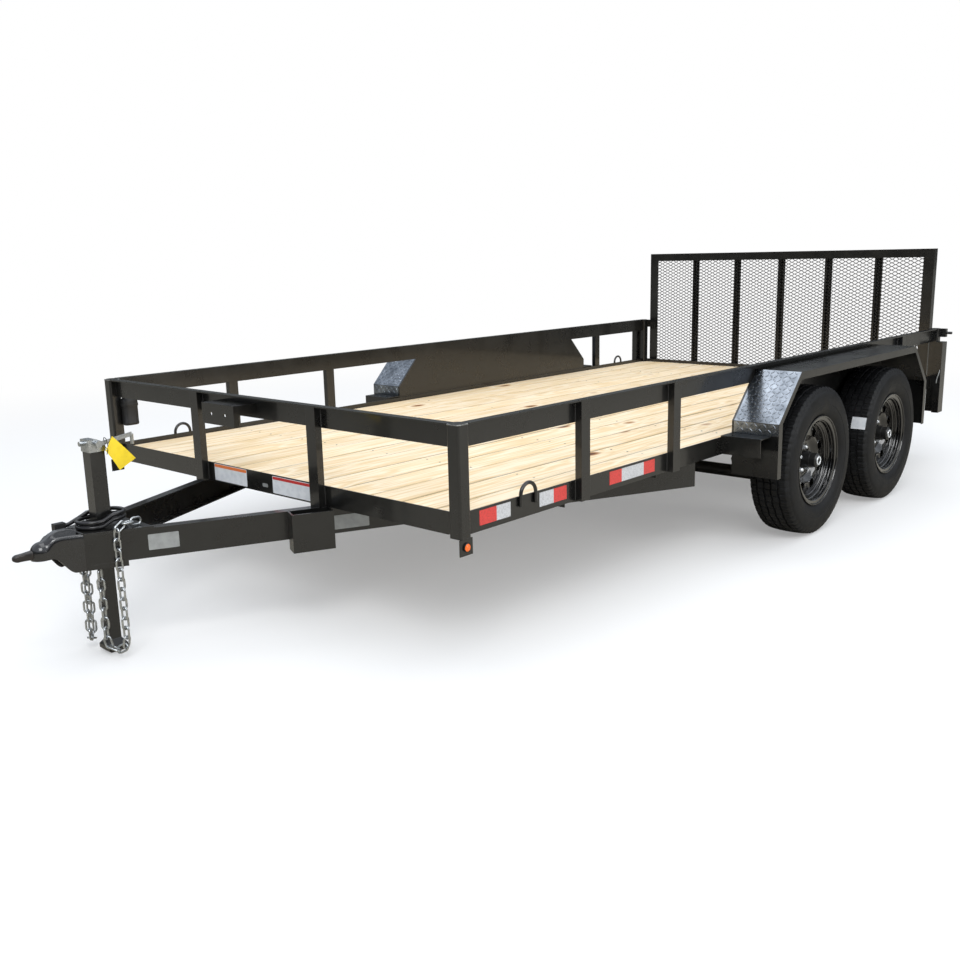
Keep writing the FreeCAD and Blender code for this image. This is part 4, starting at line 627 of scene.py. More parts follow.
# Wheels
def make_tyre(side, row):
    """A ring section turned about the axle. The tread is cut by zigzag grooves: at each
    angle a groove's place across the tread swings by a triangle wave, and its bottom lies
    8.5 mm down. Shoulder blocks are notched at every step of the pattern."""
    node = "tyre_" + side + "_" + row
    low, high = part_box(node)
    half, crown = (high.x - low.x) / 2, (high.z - low.z) / 2
    rise = crown - FLANGE
    # The side wall from the inner bead out to the shoulder, as distance from the middle, radius
    wall = np.array([
        (half * 0.70, BEAD), (half * 0.75, BEAD + 0.006), (half * 0.765, FLANGE),
        (half * 0.80, FLANGE + 0.006), (half * 0.90, FLANGE + rise * 0.12),
        (half * 0.965, FLANGE + rise * 0.26), (half * 0.985, FLANGE + rise * 0.36),
        (half * 0.985, FLANGE + rise * 0.375), (half, FLANGE + rise * 0.39),
        (half, FLANGE + rise * 0.5), (half * 0.99, FLANGE + rise * 0.6),
        (half * 0.965, FLANGE + rise * 0.7), (half * 0.93, FLANGE + rise * 0.79),
        (half * 0.915, FLANGE + rise * 0.8), (half * 0.89, FLANGE + rise * 0.865),
        (half * 0.855, FLANGE + rise * 0.915)])
    blocks, fine = 64, 6
    steps = blocks * fine
    angle = np.arange(steps)
    swing = 0.0022 * (np.abs((angle % (fine * 2)) / (fine * 2) * 4 - 2) - 1)
    # Four grooves, each with two edges and a bottom that is a little narrower
    tread_half, groove_half, depth, shoulder = half * 0.80, 0.0042, 0.0085, 0.0012
    grooves = np.array([-0.62, -0.2, 0.2, 0.62])[:, None] * tread_half
    offsets = np.array([-groove_half - 0.0007, -groove_half + 0.0010,
                        groove_half - 0.0010, groove_half + 0.0007])
    marks = np.array([-1.0, *((grooves + offsets) / tread_half).ravel(), 1.0])
    depths = np.array([shoulder, *(0.0, depth, depth, 0.0) * 4, shoulder])
    swings = np.array([0.0, *(1.0,) * 16, 0.0])
    start, stop = len(wall), len(wall) + len(marks)
    grid = np.zeros((steps, stop + start, 2))
    grid[:, :start] = wall * (-1, 1)
    grid[:, stop:] = wall[::-1]
    grid[:, start:stop, 0] = marks * tread_half + swing[:, None] * swings
    grid[:, start:stop, 1] = crown - 0.004 * marks ** 2 - depths
    # Notches across the shoulders and thin cuts across the ribs
    notch = angle % fine < 2
    grid[np.ix_(notch, [start, start + 1, stop - 2, stop - 1], [1])] -= 0.0045
    grid[np.ix_(notch, [start - 2, start - 1, stop, stop + 1], [1])] -= 0.003
    ribs = np.flatnonzero(depths == 0.0) + start
    grid[np.ix_(angle % fine == 3, ribs, [1])] -= 0.0034
    cos, sin = circle(steps).T[..., None]
    points = np.stack([grid[..., 0], grid[..., 1] * cos, grid[..., 1] * sin], -1)
    mesh_piece("tread_" + side + "_" + row,
               (points + np.mean(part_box(node), 0), grid_faces(steps, stop + start, True, True)),
               "rubber", "wheel_" + side + "_" + row, 32, node)


def windowed_disc(near, far, thick):
    """The pressed disc of a rim, as distance along the axle, angle and radius. Its height
    over the hub's face is a smooth step of the radius. Round each window the plate flares
    out by a bell curve of the distance from the window's edge, and turns in to its back."""
    count, side, hub_edge, rim_edge = 8, 8, 0.043, 0.1615
    half = math.pi / count

    def plate(along, angles, radii):
        """Points of the plate, a distance along the axle from its sloping back."""
        return np.stack([0.024 * ease(radii, 0.080, 0.036) + along, angles, radii], -1)

    # The window, a D with its straight side outward, and the sector's edge, point for point
    inner, knee, outer, wide = 0.111, 0.131, 0.148, 0.022
    window = rounded_loop([(-wide * 0.72, inner), (wide * 0.72, inner), (wide, knee),
                           (wide * 0.86, outer), (-wide * 0.86, outer), (-wide, knee)], 0.009)
    window = np.concatenate([window, window[:1]])
    length = np.concatenate([[0], np.cumsum(np.linalg.norm(np.diff(window, axis=0), axis=1))])
    at = np.arange(side * 4) / (side * 4) * length[-1]
    x, y = np.interp(at, length, window[:, 0]), np.interp(at, length, window[:, 1])
    edge = np.linspace(-half, half, side + 1)[:-1]
    radial = np.linspace(near, far, side + 1)[:-1]
    edge_angle = np.concatenate([edge, np.full(side, half), -edge, np.full(side, -half)])
    edge_radius = np.concatenate([np.full(side, near), radial, np.full(side, far),
                                  near + far - radial])
    # Each window point goes with the sector point of the nearest bearing
    angle, radius, centre = np.arctan2(x, y), np.hypot(x, y), (near + far) / 2
    bearing = np.arctan2(radius - centre, angle * centre) % math.tau
    target = np.arctan2(edge_radius - centre, edge_angle * centre) % math.tau
    order = np.argsort(bearing)
    turns = (bearing[order] + math.tau * np.array([[-1], [0], [1]])).ravel()
    angle = np.interp(target, turns, np.tile(angle[order], 3))
    radius = np.interp(target, turns, np.tile(radius[order], 3))
    shares = np.array([0.0, 0.05, 0.12, 0.25, 0.5, 1.0])[:, None]
    angles = angle + (edge_angle - angle) * shares
    radii = radius + (edge_radius - radius) * shares
    flare = 0.0035 * np.exp(-(shares / 0.12) ** 2)
    grid = np.concatenate([plate(flare, angles, radii)[::-1],
                           plate(flare + thick, angles, radii)])
    sector = (grid.reshape(-1, 3), grid_faces(*grid.shape[:2], close_columns=True))
    sectors = (np.arange(count)[:, None] + 0.5) * Y * math.tau / count
    # Plain rings inside and outside the windows
    around = math.tau * np.arange(count * side)[:, None] / (count * side)
    parts = [copies(sector, sectors)]
    for first, last in ((near, hub_edge), (far, rim_edge)):
        line = np.linspace(first, last, 9)
        loop = np.concatenate([plate(thick, line * 0, line), plate(0, line * 0, line)[::-1]])
        parts.append(((loop + around[..., None] * Y).reshape(-1, 3),
                      grid_faces(len(around), len(loop), close_rows=True)[:, ::-1]))
    return joined(parts)


def make_rim(side, sign, row):
    """The barrel is a rounded section turned about the axle, with rolled lips. The disc
    stands in it, and both are drawn as seen from the left and mirrored for the right."""
    node = "rim_" + side + "_" + row
    low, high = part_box(node)
    half = (high.x - low.x) / 2
    wall, seat, floor, steps, flip = 0.004, 0.047, 0.038, 96, (-1, 1)
    # Half of the barrel's outer and of its inner face; the other half is their mirror image
    face = np.array([(half, FLANGE - 0.005), (half, FLANGE), (half - 0.011, FLANGE),
                     (half - 0.011, BEAD), (seat, BEAD), (floor, WELL)])
    back = np.array([(half - 0.006, FLANGE - 0.006), (half - 0.007, BEAD - wall),
                     (seat + 0.003, BEAD - wall), (floor + 0.003, WELL - wall)])
    section = rounded_loop(np.concatenate([face, face[::-1] * flip, back * flip, back[::-1]]),
                           0.006, 3)
    plate, faces = windowed_disc(0.100, 0.1575, 0.005)
    along, angle, radius = plate.T
    disc = merged(np.stack([along, radius * np.sin(angle), radius * np.cos(angle)], -1), faces)
    # A rolled bead round the outer lip, a step line inside it and a bead where the disc sits
    beads = [ring(circle(8) * fat + (at, radius), steps) for at, radius, fat in (
        (half - 0.0032, FLANGE - 0.0035, 0.0032), (half - 0.0205, BEAD - 0.0058, 0.0022),
        (0.0465, WELL + 0.004, 0.0020))]
    points, faces = joined([ring(section, steps), disc, *beads])
    mesh_piece("wheel_rim_" + side + "_" + row,
               (points * (sign, 1, 1) + np.mean(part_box(node), 0),
                faces if sign > 0 else faces[:, ::-1]),
               "gloss", "wheel_" + side + "_" + row, 28, node)


def make_hub_trim(side, sign, row):
    """Five lug nuts stand 57 mm off the axle: hexagons that narrow to a domed top. The dust
    cap ends in a ring round a rubber plug, and a valve stem leans from the rim. Nuts and
    ring are pale grey with a painted reflection of chrome."""
    centre = np.mean(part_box("hub_" + side + "_" + row), 0)
    centre[0] = np.mean(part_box("rim_" + side + "_" + row), 0)[0]
    body = "wheel_" + side + "_" + row

    def fit(name, shape, finish, smooth):
        """Mirrors a shape for its side and sets it on this wheel."""
        mesh_piece(name + side + "_" + row, (shape[0] * (sign, 1, 1) + centre, shape[1]),
                   finish, body, smooth)

    nut = hexagon(((0.0, 0.0112), (0.012, 0.0112), (0.0145, 0.0098), (0.020, 0.0086),
                   (0.0225, 0.0060)))
    spread = math.tau * (np.arange(5) + 0.25) / 5
    fit("lug_nuts_", copies(nut, np.stack([np.full(5, 0.0048), 0.057 * np.cos(spread),
                                           0.057 * np.sin(spread)], -1)), "chrome", 35)
    reach, valve, lean = 0.084, (0.045, 0.0, 0.172), math.radians(-18)
    cap = rounded_loop([(reach - 0.002, 0.0120), (reach + 0.0030, 0.0130),
                        (reach + 0.0034, 0.0205), (reach - 0.002, 0.0225)], 0.0015, 3)
    fit("cap_ring_", ring(cap, 40), "chrome", 30)
    plug = turned_solid([(reach - 0.001, 0.0128), (reach + 0.0006, 0.0128),
                         (reach + 0.0014, 0.0105), (reach + 0.0016, 0.0040)], 24)
    stem, faces = turned_solid([(0.0, 0.0045), (0.020, 0.0042), (0.021, 0.0032),
                                (0.033, 0.0032), (0.034, 0.0020)], 12)
    cos, sin = math.cos(lean), math.sin(lean)
    stem = stem @ np.array([(cos, 0, -sin), (0, 1, 0), (sin, 0, cos)]) + valve
    fit("hub_rubber_", joined([plug, (stem, faces)]), "rubber", 30)


# Gate mesh
def make_gate_mesh(sizes):
    """Expanded metal: two families of strands cross a sheet. A strand is a thin bar twisted
    out of the sheet's plane, and the bars meet in knuckles at the diamonds' long ends."""
    low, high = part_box("gate_mesh")
    columns = round((high.x - low.x) / sizes.mesh_length)
    rows = round((high.z - low.z) / sizes.mesh_height)
    # One strand goes from a knuckle up to the next, half a diamond along and half up
    run, rise = (high.x - low.x) / columns / 2, (high.z - low.z) / rows / 2
    thick, wide, knuckle, tilt = 0.0022, 0.0044, 0.0028, 0.0009
    line = np.array([(0, -tilt, 0), (knuckle, -tilt, 0), (run - knuckle, tilt, rise),
                     (run, tilt, rise)])
    section = np.array([(0, -thick, -wide), (0, thick, -wide), (0, thick, wide),
                        (0, -thick, wide)]) / 2
    strand = (line[:, None] + section).reshape(-1, 3)
    faces = np.concatenate([grid_faces(4, 4, close_columns=True)[:, ::-1],
                            [[0, 1, 2, 3], [15, 14, 13, 12]]])
    column, row = np.meshgrid(np.arange(columns * 2), np.arange(rows * 2), indexing="ij")
    places = np.stack([low.x + column * run, np.full(column.shape, (low.y + high.y) / 2),
                       low.z + row * rise], -1)
    rising = (column + row) % 2 == 0
    falling = (strand * (1, 1, -1) + (0, 0, rise), faces[:, ::-1])
    mesh_piece("expanded_mesh", joined([copies((strand, faces), places[rising]),
                                        copies(falling, places[~rising])]),
               "enamel", "gate", 0, "gate_mesh")


# Tread plate
def make_tread_plate(sizes):
    """Bars stand on the fenders' slopes and on the plates below them, in rows that cross each
    other at right angles. A bar is a pointed oval with sloping sides, 2.1 mm high, and the
    plate's own face is a skin 0.5 mm thick that the bars stand on."""
    oval, flat = circle(10), np.zeros((10, 1))
    bar = capped(np.stack([np.hstack([oval * (0.0118, 0.0040), flat]),
                           np.hstack([oval * (0.0084, 0.0021), flat + 0.0021])]),
                 (0, 0, 0.0024))
    knee, foot, flat_half, skin, pitch = 0.577, 0.524, 0.690, 0.0005, sizes.lozenge_pitch
    middle = np.mean(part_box("fender_left"), 0)[1]
    for side, sign in SIDES:
        low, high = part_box("fender_" + side)
        inner, outer = sorted((abs(low.x), abs(high.x)))
        reach = (high.y - low.y) / 2
        parts = []
        for way in (-1, 1):
            for y0, z0, y1, z1 in ((flat_half, high.z, reach, knee), (reach, knee, reach, foot)):
                start = np.array([0.0, middle + way * y0, z0])
                along = np.array([0.0, way * (y1 - y0), z1 - z0])
                length = np.linalg.norm(along)
                along /= length
                normal = np.array([0.0, way * abs(along[2]), abs(along[1])])
                near, far, end = inner + 0.006, outer - 0.001, length - 0.002
                sheet = np.array([[(near, 0), (far, 0)], [(near, end), (far, end)]])
                under = start + along * 0.001 + sheet[..., :1] * sign * X + sheet[..., 1:] * along
                parts.append(slab(under, under + normal * skin))
                parts[-1] = (parts[-1][0], triangles(parts[-1][1]))
                u = np.arange(inner + 0.022, outer - 0.012, pitch)
                v = np.arange(0.012, length - 0.006, pitch)
                u_at, v_at = np.meshgrid(np.arange(len(u)), np.arange(len(v)), indexing="ij")
                places = (sign * u[u_at][..., None] * X + v[v_at][..., None] * along
                          + start).reshape(-1, 3)
                cross = ((u_at + v_at) % 2).reshape(-1)
                slant = math.sqrt(0.5)
                ways = (X * slant + along * slant, X * slant - along * slant)
                turns = np.array([np.stack([one, np.cross(normal, one), normal], 1)
                                  for one in ways])
                parts.append(copies(bar, places, turns[cross]))
        mesh_piece("tread_bars_" + side, joined(parts), "tread_plate", "chassis")


# Tape and labels
def make_tape(sizes):
    """Strips of red and white sheet on the side frames, each cell a thin flat box."""
    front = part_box("end_beams")[0].y
    low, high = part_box("side_frame_left")
    film, half = 0.0006, sizes.tape_height / 2
    middle = (low.z + high.z) / 2 + 0.005
    # Each strip's start behind the front beam, and its cells' colours and lengths
    strips = ((0.091, (("red", 0.083), ("white", 0.070))),
              (0.397, (("white", 0.078), ("red", 0.074))),
              (0.812, (("red", 0.079), ("white", 0.150), ("red", 0.078))))
    for side, sign in SIDES:
        face = sign * max(abs(v.x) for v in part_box("side_frame_" + side))
        near, far = sorted((face, face + sign * film))
        for colour in ("red", "white"):
            parts = []
            for start, cells in strips:
                at = front + start
                for name, length in cells:
                    if name == colour:
                        parts.append(box_shape((near, at, middle - half),
                                               (far, at + length, middle + half)))
                    at += length
            mesh_piece(colour + "_tape_" + side, joined(parts), colour, "chassis",
                       0)


def film(name, corner, along, normal, sizes, finish, thick=0.0004):
    """A blank label: a thin film with rounded corners, upright on what carries it."""
    wide, tall = sizes
    outline = rounded_loop([(0, 0), (wide, 0), (wide, tall), (0, tall)], 0.004, 3)
    flat = np.asarray(corner, float) + outline[:, :1] * along + outline[:, 1:] * Z
    mesh_piece(name, capped(np.stack([flat, flat + normal * thick])), finish, "chassis",
               0)


def make_labels():
    """Blank films where the trailer carries its plates: two on the front beam, one on the
    drawbar, a worn patch behind the pocket, a wrap on a tyre, and a card tied to the jack."""
    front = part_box("end_beams")[0].y
    # A coloured band lies on each of the two large labels, so it starts at their face
    label, band = (0.0, 0.0004), (0.0004, 0.0003)
    for name, x, z, size, finish, (lift, thick) in (
            ("beam_label_right", -0.298, 0.446, (0.218, 0.068), "label", label),
            ("beam_band_right", -0.296, 0.500, (0.214, 0.012), "band", band),
            ("beam_label_left", 0.085, 0.446, (0.240, 0.066), "label", label),
            ("beam_band_left", 0.087, 0.499, (0.236, 0.011), "red_band", band),
            ("beam_chip", 0.020, 0.462, (0.034, 0.014), "grey_film", label)):
        film(name, (x, front - lift, z), X, -Y, size, finish, thick)
    # The drawbar's outer face leans in toward the nose
    at_beam, slope = 0.401, (1.054 - 0.401) / 1.432
    along = np.array([slope, 1.0, 0.0]) / math.hypot(slope, 1.0)
    normal = np.array([1.0, -slope, 0.0]) / math.hypot(slope, 1.0)
    for name, back, base, size in (("drawbar_label", -0.560, 0.364, (0.100, 0.054)),
                                   ("drawbar_patch", 0.012, 0.352, (0.140, 0.052))):
        film(name, (at_beam + slope * back, front + back, base), along, normal, size,
             "grey_film")

    # The wrap follows the tread of the left rear tyre, whose crown falls by a parabola
    low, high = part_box("tyre_left_rear")
    hub = np.array([0, (low.y + high.y) / 2, (low.z + high.z) / 2])
    turn = np.radians(np.linspace(158.5, 168.5, 9))[:, None]
    across = np.linspace(1.186, 1.256, 6)
    radius = (high.z - low.z) / 2 + 0.0002 - 0.004 * ((across - 1.172) / 0.080) ** 2
    sheet = np.stack([np.broadcast_to(across, (9, 6)), hub[1] + radius * np.cos(turn),
                      hub[2] + radius * np.sin(turn)], -1)
    mesh_piece("tyre_wrap", slab(sheet, sheet + (hub - sheet) * (0, 0.0015, 0.0015)), "label",
               "wheel_left_rear", 0)

    # The card is bilinear between its corners and bent by a sine across, as card is
    corners = np.array([[-2.3255, 0.703], [-2.2985, 0.748], [-2.2205, 0.661], [-2.2815, 0.630]])
    u, v = np.meshgrid(np.linspace(0, 1, 9), np.linspace(0, 1, 9), indexing="ij")
    shares = np.stack([(1 - u) * (1 - v), u * (1 - v), u * v, (1 - u) * v], -1)
    bend = 0.0465 + 0.0036 * np.sin(math.pi * v) - 0.003 * v
    rear = np.concatenate([bend[..., None], shares @ corners], -1)
    mesh_piece("jack_card", slab(rear + 0.0006 * X, rear), "tag", "chassis", 40)
    thin_rod("card_tie", [
        (0.0505, -2.318, 0.716), (0.0520, -2.320, 0.728), (0.0505, -2.322, 0.742),
        (0.0420, -2.323, 0.746), (0.0340, -2.322, 0.742), (0.0335, -2.321, 0.722),
        (0.0400, -2.321, 0.712), (0.0490, -2.319, 0.707), (0.0500, -2.324, 0.690)],
        0.0013, "cable")
    # A short cable loops out of the left tail lamp's box
    thin_rod("lamp_wire", [
        (1.098, 2.5225, 0.474), (1.101, 2.512, 0.480), (1.106, 2.506, 0.505),
        (1.113, 2.506, 0.530), (1.116, 2.511, 0.551), (1.112, 2.5225, 0.558)],
        0.0028, "grey_film")


def make_post_lips():
    """A rounded lip runs round the top of each front corner post: a round bar bent along the
    post's outline, which is an oblong with rounded corners. It is light grey with dark
    clouds, a painted highlight of a glossy black edge."""
    corner, bar, inset, drop = 0.008, 0.0022, 0.0012, 0.0032
    points = corners_of("corner_posts")
    for side, sign in SIDES:
        near = points[(points[:, 0] * sign > 0) & (points[:, 1] < 0) & (points[:, 2] > 0.6)]
        low, high = near.min(0), near.max(0)
        outline = rounded_loop([(low[0], low[1]), (high[0], low[1]), (high[0], high[1]),
                                (low[0], high[1])], corner, 5)
        spread = outline - outline.mean(0)
        spread /= np.linalg.norm(spread, axis=1)[:, None]
        across, up = bar * circle(8).T[..., None]
        lip = np.concatenate([outline[:, None] + spread[:, None] * (across - inset),
                              np.broadcast_to(high[2] - drop + up, (len(outline), 8, 1))], -1)
        mesh_piece("post_lip_" + side, (lip, grid_faces(len(outline), 8, True, True)), "lip",
                   "chassis", 60)


# Lamps
def make_lamps():
    """A marker lens is a dome with rings pressed in it, set in a black bezel. A tail lens is
    a pillow, 1 - (2u)^6 over its width and 1 - (2v)^24 over its height, crossed by ribs every
    6 mm."""
    low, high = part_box("marker_lamps")
    depth, wall, steps = 0.009, 0.0024, 28
    radius = (high.z - low.z) / 2
    share = np.linspace(0.0006, radius - 0.0022, 14) / radius
    dome = 0.0004 + 0.0035 * share ** 2 + 0.0004 * (1 + np.cos(share * 22))
    lens = np.stack([np.append(dome, depth), np.append(share * radius, radius - 0.0022)], -1)
    bezel = rounded_loop([(depth, radius - wall), (0.0028, radius - wall), (0.0036, radius),
                          (depth, radius)], 0.001, 2)
    centre = np.array([0, (low.y + high.y) / 2, (low.z + high.z) / 2])
    lenses, bezels = [], []
    for _, sign in SIDES:
        seat = centre + sign * abs(high.x) * X
        lenses.append(turned_solid(lens * (-sign, 1), steps, seat))
        bezels.append(ring(bezel * (-sign, 1), steps, seat))
    mesh_piece("marker_lenses", joined(lenses), "amber", "chassis", 60,
               "marker_lamps")
    mesh_piece("marker_bezels", joined(bezels), "plastic", "chassis")

    low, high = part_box("tail_lamps")
    wide, tall, deep, pitch = 0.034, high.z - low.z, high.y - low.y, 0.006
    u, v = np.meshgrid(np.linspace(-0.5, 0.5, 13), np.linspace(-0.5, 0.5, 101), indexing="ij")
    pillow = (1 - np.abs(2 * u) ** 6) * (1 - np.abs(2 * v) ** 24)
    rib = 0.5 + 0.5 * np.cos(v * tall / pitch * math.tau)
    height = low.y + deep * (0.25 + pillow * (0.62 + 0.13 * rib))
    lenses = []
    for _, sign in SIDES:
        front = np.stack([sign * (high.x - wide / 2) + u * wide * 0.98, height,
                          (low.z + high.z) / 2 + v * tall * 0.99], -1)
        lenses.append(slab(front, np.where([False, True, False], low.y, front)))
    mesh_piece("tail_lenses", joined(lenses), "red_lens", "chassis", 50,
               "tail_lamps")


# Coupler
def make_coupler():
    """The coupler's pressed shell. Its section is a superellipse, |x|^n + |z|^n = 1, whose power
    grows from 2 over the ball, where it makes a dome, to 9 at the drawbar. A raised tongue
    runs down its middle between two pressed hollows; an inner skin follows 4 mm inside."""
    low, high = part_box("coupler")
    shell, centre_z, skin, chin_z, stages, levels = 0.035, 0.400, 0.004, 0.378, 13, 5
    ball = low.y + shell
    swing = np.linspace(-math.pi / 2, 0, stages)
    # A half square of directions, which the superellipse rounds
    across, rise = np.linspace(-1, 1, 81), np.linspace(0, 1, 9)[:-1]
    square = np.concatenate([np.stack([-np.ones(8), rise], -1),
                             np.stack([across, np.ones(81)], -1),
                             np.stack([np.ones(8), rise[::-1]], -1)])

    def surface(inset):
        """The shell's skin on a grid, a wall's thickness in from the outside."""
        radius = shell - inset
        y = np.concatenate([ball + radius * np.sin(swing), np.linspace(ball, high.y, 40)[1:]])
        past = np.clip((y - ball) / (high.y - ball), 0, 1)
        half = radius + (high.x - shell) * past ** 1.6
        half[:stages] = radius * np.cos(swing)
        crest = radius + (high.z - 0.015 - centre_z - shell) * ease(y, ball, 0.03)
        crest[:stages] = half[:stages]
        power = (2 + 7 * ease(y, ball, 0.06))[:, None]
        a, b = np.abs(square).T
        norm = (a ** power + b ** power) ** (1 / power)
        x, up = half[:, None] * square[:, 0] / norm, square[:, 1] / norm
        tongue = 0.015 * ease(y, ball + 0.008, 0.05) - 0.006 * ease(y, high.y - 0.03, 0.03)
        hollow = 0.009 * ease(y, ball + 0.024, 0.024)
        off = np.abs(x)
        relief = (tongue[:, None] * (1 - ease(off, 0.011, 0.010))
                  - hollow[:, None] * ease(off, 0.018, 0.008)
                  * (1 - ease(off, half[:, None] - 0.017, 0.008)))
        z = centre_z + crest[:, None] * up + relief * (up > 0.5)
        # The cheeks go straight down, less far over the ball
        chin = low.z + (chin_z - low.z) * (1 - ease(y, ball + 0.02, 0.065))[:, None]
        cheek = chin + (centre_z - chin) * np.arange(levels) / levels
        x = np.concatenate([np.repeat(x[:, :1], levels, 1), x, np.repeat(x[:, -1:], levels, 1)], 1)
        z = np.concatenate([cheek, z, cheek[:, ::-1]], 1)
        return np.stack([x, np.broadcast_to(y[:, None], x.shape), z], -1)

    outer, inner = surface(0.0), surface(skin)
    rows, columns = outer.shape[:2]
    index = np.arange(rows * columns).reshape(rows, columns)
    grid = grid_faces(rows, columns)
    rims = [np.stack([line[:-1], line[1:], line[1:] + index.size, line[:-1] + index.size], -1)
            for line in (index[:, 0], index[:, -1], index[-1])]
    shape = merged(np.concatenate([outer.reshape(-1, 3), inner.reshape(-1, 3)]),
                   triangles(np.concatenate([grid, grid[:, ::-1] + index.size, *rims])))
    mesh_piece("coupler_shell", shape, "pressed", "chassis", 50, "coupler")


def make_latch():
    """The coupler's latch: a cast lip whose section is a rounded oblong. Its half width goes
    from a neck to a knob and closes by a quarter circle; its half height falls with it."""
    low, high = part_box("coupler_latch")
    knob = 0.72
    share = np.concatenate([np.linspace(0, knob, 12), 1 - (1 - knob) * np.cos(
        np.linspace(0.08, math.pi / 2, 10))])[:, None]
    close = np.sqrt(np.clip(1 - ((share - knob) / (1 - knob)).clip(0) ** 2, 0.0004, 1))
    wide = (high.x - low.x) / 2 * (0.86 + 0.14 * np.cos(share * 7.0)) * close
    tall = (high.z - low.z) / 2 * (1.0 - 0.25 * share) * close
    x, z = squared_circle(24).T
    rings = np.stack([x * wide, high.y - share * (high.y - low.y) + x * 0,
                      (low.z + high.z) / 2 - 0.001 * share + z * tall], -1)
    mesh_piece("latch_lip", capped(rings), "worn", "chassis", 50, "coupler_latch")


def make_holder():
    """The paper holder: an upright tube whose section is a circle drawn out towards its square,
    with a foot and a screwed lid that has a grip ring."""
    low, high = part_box("paper_holder")
    tall, lid, grip = high.z - low.z, 0.044, 0.032
    # Height over the foot, and share of the box's width
    levels = ((0.0, 0.80), (0.003, 0.90), (0.010, 0.94), (0.012, 0.91), (tall - lid, 0.91),
              (tall - lid + 0.001, 0.99), (tall - grip, 0.99), (tall - grip + 0.001, 0.95),
              (tall - 0.020, 0.94), (tall - 0.010, 0.86), (tall - 0.003, 0.70), (tall, 0.45))
    up, share = np.array(levels).T[:, :, None, None]
    section = np.array((high - low).xy) / 2 * squared_circle(48)
    rings = np.concatenate([np.array((low + high).xy) / 2 + section * share,
                            np.broadcast_to(low.z + up, (len(levels), 48, 1))], -1)
    mesh_piece("document_tube", capped(rings), "plastic", "chassis", 40,
               "paper_holder")


# Bolts and straps of the running gear
def make_bolts():
    """Hexagon heads on the hangers' and shackles' bolts, and U-bolts that strap each spring
    to its axle: a round rod over the spring, down past the tube and through a plate."""
    middle = np.mean(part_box("axles"), 0)[1]
    axle, span, spring_x, reach = 0.432, 0.321, 1.028, 0.0345
    eye_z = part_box("springs")[1].z - 0.017
    pivot_z = (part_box("hangers")[1].z + eye_z) / 2 + 0.0085
    places, turns = [], []
    for side, sign in SIDES:
        for y, z in ((middle - axle - span, eye_z), (middle, pivot_z),
                     (middle + axle + span, eye_z)):
            for end in (-1, 1):
                places.append((sign * spring_x + end * reach, y, z))
                turns.append(np.diag([end, 1.0, 1.0]))
    head = hexagon(((0.0, 0.0105), (0.006, 0.0105), (0.0075, 0.0085)))
    mesh_piece("hanger_bolts", copies(head, places, np.array(turns)), "zinc", "chassis",
               35)

    tube_z, top, half, bend, leg, apart = 0.244, 0.316, 0.0275, 0.006, 0.052, 0.0245
    number = 0
    for side, sign in SIDES:
        for row, way in zip(ROWS, (-1, 1)):
            x, axle_y = sign * spring_x, middle + way * axle
            for y in (axle_y - apart, axle_y + apart):
                number += 1
                leg_spots = np.array([(-half, y, tube_z - leg), (-half, y, tube_z),
                                      (-half, y, top - 0.008), (bend - half, y, top)])
                spots = [*leg_spots, (0, y, top + 0.001), *leg_spots[::-1] * (-1, 1, 1)]
                thin_rod("spring_strap_" + str(number), spots + x * X, 0.0048, "cast")
            plate = mesh_piece("strap_plate_" + side + "_" + row, box_shape(
                (x - 0.038, axle_y - 0.036, tube_z - 0.043),
                (x + 0.038, axle_y + 0.036, tube_z - 0.033)), "cast", "chassis", 0)
            edges = plate.modifiers.new("edges", "BEVEL")
            edges.width, edges.segments = 0.0015, 2
            edges.limit_method, edges.angle_limit = "ANGLE", math.radians(40)


# Chains
def make_chains():
    """Each link is a round bar on an oval line, two half circles joined by straights. It takes
    the place of one link of the frame's chain: its middle, its long way and its plane come
    from the spread of that link's own corners."""
    mesh = NODES["safety_chains"].data
    edges = np.zeros(len(mesh.edges) * 2, np.int32)
    mesh.edges.foreach_get("vertices", edges)
    kept, index = np.unique(np.round(corners_of("safety_chains"), 5), axis=0,
                            return_inverse=True)
    first, second = index.reshape(-1)[edges].reshape(-1, 2).T
    # Corners that edges join take the least of their numbers, until a link shares one
    label, before = np.arange(len(kept)), None
    while not np.array_equal(label, before):
        before = label.copy()
        np.minimum.at(label, first, before[second])
        np.minimum.at(label, second, before[first])
    wire, half_width, half_length, steps, sides = 0.0036, 0.0119, 0.0212, 28, 10
    turn = math.tau * (np.arange(steps) + 0.5) / steps
    out = np.stack([np.cos(turn), np.sin(turn), np.zeros(steps)], -1)
    line = out * half_width + np.sign(out[:, :1]) * (half_length - half_width) * X
    cos, sin = circle(sides).T[..., None]
    bar = line[:, None] + wire * (out[:, None] * cos + Z * sin)
    places, turns = [], []
    for name in np.unique(label):
        own = kept[label == name]
        places.append(own.mean(0))
        turns.append(np.linalg.eigh(np.cov((own - places[-1]).T))[1][:, ::-1])
        if np.linalg.det(turns[-1]) < 0:
            turns[-1] = turns[-1] * (1, 1, -1)
    link = (bar.reshape(-1, 3), grid_faces(steps, sides, True, True))
    mesh_piece("chain_links", copies(link, places, np.array(turns)), "zinc", "chassis",
               50, "safety_chains")


